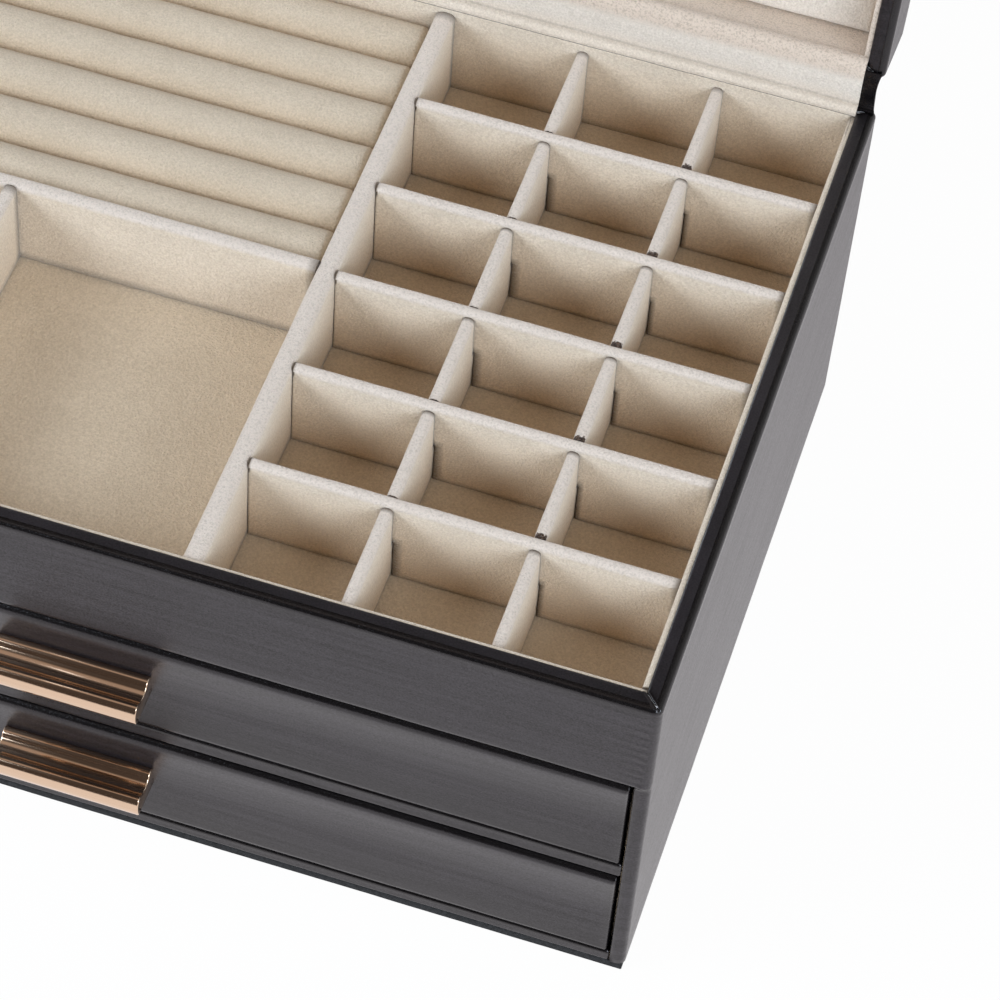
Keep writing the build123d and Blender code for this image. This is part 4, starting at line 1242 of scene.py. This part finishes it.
def ring_roll_rule():
    """Padded rolls side by side: crowned, widest at the waist, drawn in at the foot, with round ends."""
    rule, start, end = new_rule("ring_rolls", {
        "Rolls": "Int", "Pitch": "Float", "Length": "Float", "Half width": "Float", "Waist": "Float",
        "Height": "Float", "End round": "Float", "Unevenness": "Float", "First roll": "Vector",
        "Finish": "Material"})

    def times(*values):
        return maths(rule, "MULTIPLY", *values)

    def minus(*values):
        return maths(rule, "SUBTRACT", *values)

    length, waist = (start, "Length"), (start, "Waist")
    grid = result(rule, "GeometryNodeMeshGrid",
                  {"Size X": length, "Size Y": 1.0, "Vertices X": 230, "Vertices Y": 41})
    at = add(rule, "ShaderNodeSeparateXYZ", {0: result(rule, "GeometryNodeInputPosition")})
    angle = times((at, "Y"), 2 * math.pi)
    rise, side = maths(rule, "COSINE", angle), maths(rule, "SINE", angle)
    above = maths(rule, "GREATER_THAN", rise, 0.0)
    below = minus(1.0, above)
    tall = maths(rule, "ADD", times(above, minus((start, "Height"), waist)), times(below, waist))
    drawn_in = maths(rule, "POWER", maths(rule, "ABSOLUTE", side), minus(1.0, times(below, 0.45)))
    full = times(maths(rule, "SIGN", side), drawn_in)
    near_end = minus(times(length, 0.5), maths(rule, "ABSOLUTE", (at, "X")))
    inside = clamped(rule, maths(rule, "DIVIDE", near_end, (start, "End round")))
    dip = maths(rule, "POWER", minus(1.0, inside), edge_fullness)
    shrink = maths(rule, "POWER", minus(1.0, dip), 1 / edge_fullness)
    level = maths(rule, "ADD", waist, times(shrink, times(rise, tall)))
    place = result(rule, "ShaderNodeCombineXYZ",
                   {"X": (at, "X"), "Y": times(shrink, times(full, (start, "Half width"))), "Z": level})
    # Painted shade: brown in the creases low between the rolls, and darker, warmer down their sides
    crease = clamped(rule, maths(rule, "DIVIDE", minus(times(waist, 1.22), level), times(waist, 0.35)))
    deep = clamped(rule, minus(1.0, times(rise, 1.05)))
    roll = changed(rule, "StoreNamedAttribute", grid, Name="crease", Value=crease)
    roll = changed(rule, "StoreNamedAttribute", roll, Name="deep", Value=deep)
    roll = changed(rule, "SetPosition", roll, Position=place)
    roll = changed(rule, "MergeByDistance", roll, Distance=1e-6)
    rolls = in_a_row(rule, roll, (start, "Rolls"), (start, "First roll"), "Y", (start, "Pitch"))
    wave = add(rule, "ShaderNodeTexNoise", {"Scale": 70.0, "Detail": 2.0}), "Fac"
    push = times(minus(wave, 0.5), (start, "Unevenness"))
    normal = result(rule, "GeometryNodeInputNormal")
    offset = result(rule, "ShaderNodeVectorMath", {0: normal, "Scale": push}, operation="SCALE")
    rolls = changed(rule, "SetPosition", rolls, Offset=offset)
    rolls = result(rule, "GeometryNodeSetShadeSmooth", {0: rolls})
    feed(rule, end, {"Shape": changed(rule, "SetMaterial", rolls, Material=(start, "Finish"))})
    return rule


rolls = from_rule("ring_rolls", ring_roll_rule(), {
    "Rolls": roll_count, "Pitch": roll_pitch * mm, "Length": (main_left + tray_half - roll_end_play) * mm,
    "Half width": roll_half_width * mm, "Waist": roll_waist * mm, "Height": roll_height * mm,
    "End round": roll_end_round * mm, "Unevenness": 0.5 * mm,
    "First roll": ((main_left - tray_half) / 2 * mm, (ring_back + roll_pitch / 2) * mm, roll_foot_level * mm),
    "Finish": shaded_roll_velvet})
settle(rolls, "case", "ivory_velvet", *[f"ring_roll_{k}" for k in range(1, roll_count + 1)])


def screw_rule():
    """Pan-head screws in a row, with a domed head and a cross recess. They point along -Y."""
    rule, start, end = new_rule("pan_head_screws", {
        "Screws": "Int", "Spacing": "Float", "Head radius": "Float", "Head height": "Float",
        "Shank radius": "Float", "Shank length": "Float", "First screw": "Vector", "Finish": "Material"})
    radius, height, shank_length = (start, "Head radius"), (start, "Head height"), (start, "Shank length")
    disc = {"Vertices": 32, "Fill Segments": 5, "Side Segments": 2, "Radius": radius, "Depth": height}
    head = result(rule, "GeometryNodeMeshCylinder", disc, fill_type="TRIANGLE_FAN")
    at = add(rule, "ShaderNodeSeparateXYZ", {0: result(rule, "GeometryNodeInputPosition")})
    squares = [maths(rule, "POWER", (at, axis), 2.0) for axis in ("X", "Y")]
    out = maths(rule, "SQRT", maths(rule, "ADD", *squares))
    share = maths(rule, "POWER", maths(rule, "DIVIDE", out, radius), 3.0)
    on_top = maths(rule, "GREATER_THAN", (at, "Z"), 0.0)
    fall = maths(rule, "MULTIPLY", height, -0.55)
    drop = maths(rule, "MULTIPLY", maths(rule, "MULTIPLY", share, on_top), fall)
    dome = changed(rule, "SetPosition", head, Offset=result(rule, "ShaderNodeCombineXYZ", {"Z": drop}))
    cross = rule.nodes.new("GeometryNodeJoinGeometry")
    bar_length, bar_width, bar_depth, bar_rise = 0.0034, 0.0008, 0.0016, 0.0009
    for size in ((bar_length, bar_width, bar_depth), (bar_width, bar_length, bar_depth)):
        bar = result(rule, "GeometryNodeMeshCube", {"Size": size})
        feed(rule, cross, {0: changed(rule, "Transform", bar, Translation=(0.0, 0.0, bar_rise))})
    cut = result(rule, "GeometryNodeMeshBoolean", {0: dome, 1: (cross, 0), "Self Intersection": True},
                 operation="DIFFERENCE", solver="EXACT")
    shank = result(rule, "GeometryNodeMeshCylinder",
                   {"Vertices": 20, "Radius": (start, "Shank radius"), "Depth": shank_length})
    half_all = maths(rule, "MULTIPLY", maths(rule, "ADD", shank_length, height), -0.5)
    below = result(rule, "ShaderNodeCombineXYZ", {"Z": half_all})
    whole = rule.nodes.new("GeometryNodeJoinGeometry")
    for piece in (cut, changed(rule, "Transform", shank, Translation=below)):
        feed(rule, whole, {0: piece})
    row = in_a_row(rule, (whole, 0), (start, "Screws"), (start, "First screw"), "X", (start, "Spacing"),
                   (-math.pi / 2, 0.0, 0.0))
    feed(rule, end, {"Shape": changed(rule, "SetMaterial", row, Material=(start, "Finish"))})
    return rule


screws = screw_rule()
for name, low, high in drawers:
    made = from_rule(f"{name}_screws", screws, {
        "Screws": 2, "Spacing": 2 * screw_x * mm, "Head radius": 2.7 * mm, "Head height": 1.7 * mm,
        "Shank radius": 1.4 * mm, "Shank length": 10.4 * mm, "Finish": steel,
        "First screw": (-screw_x * mm, screw_y * mm, (low + pull_rise + screw_rise) * mm)})
    settle(made, f"{name}_drawer", "screw_steel", f"{name}_handle_screws")
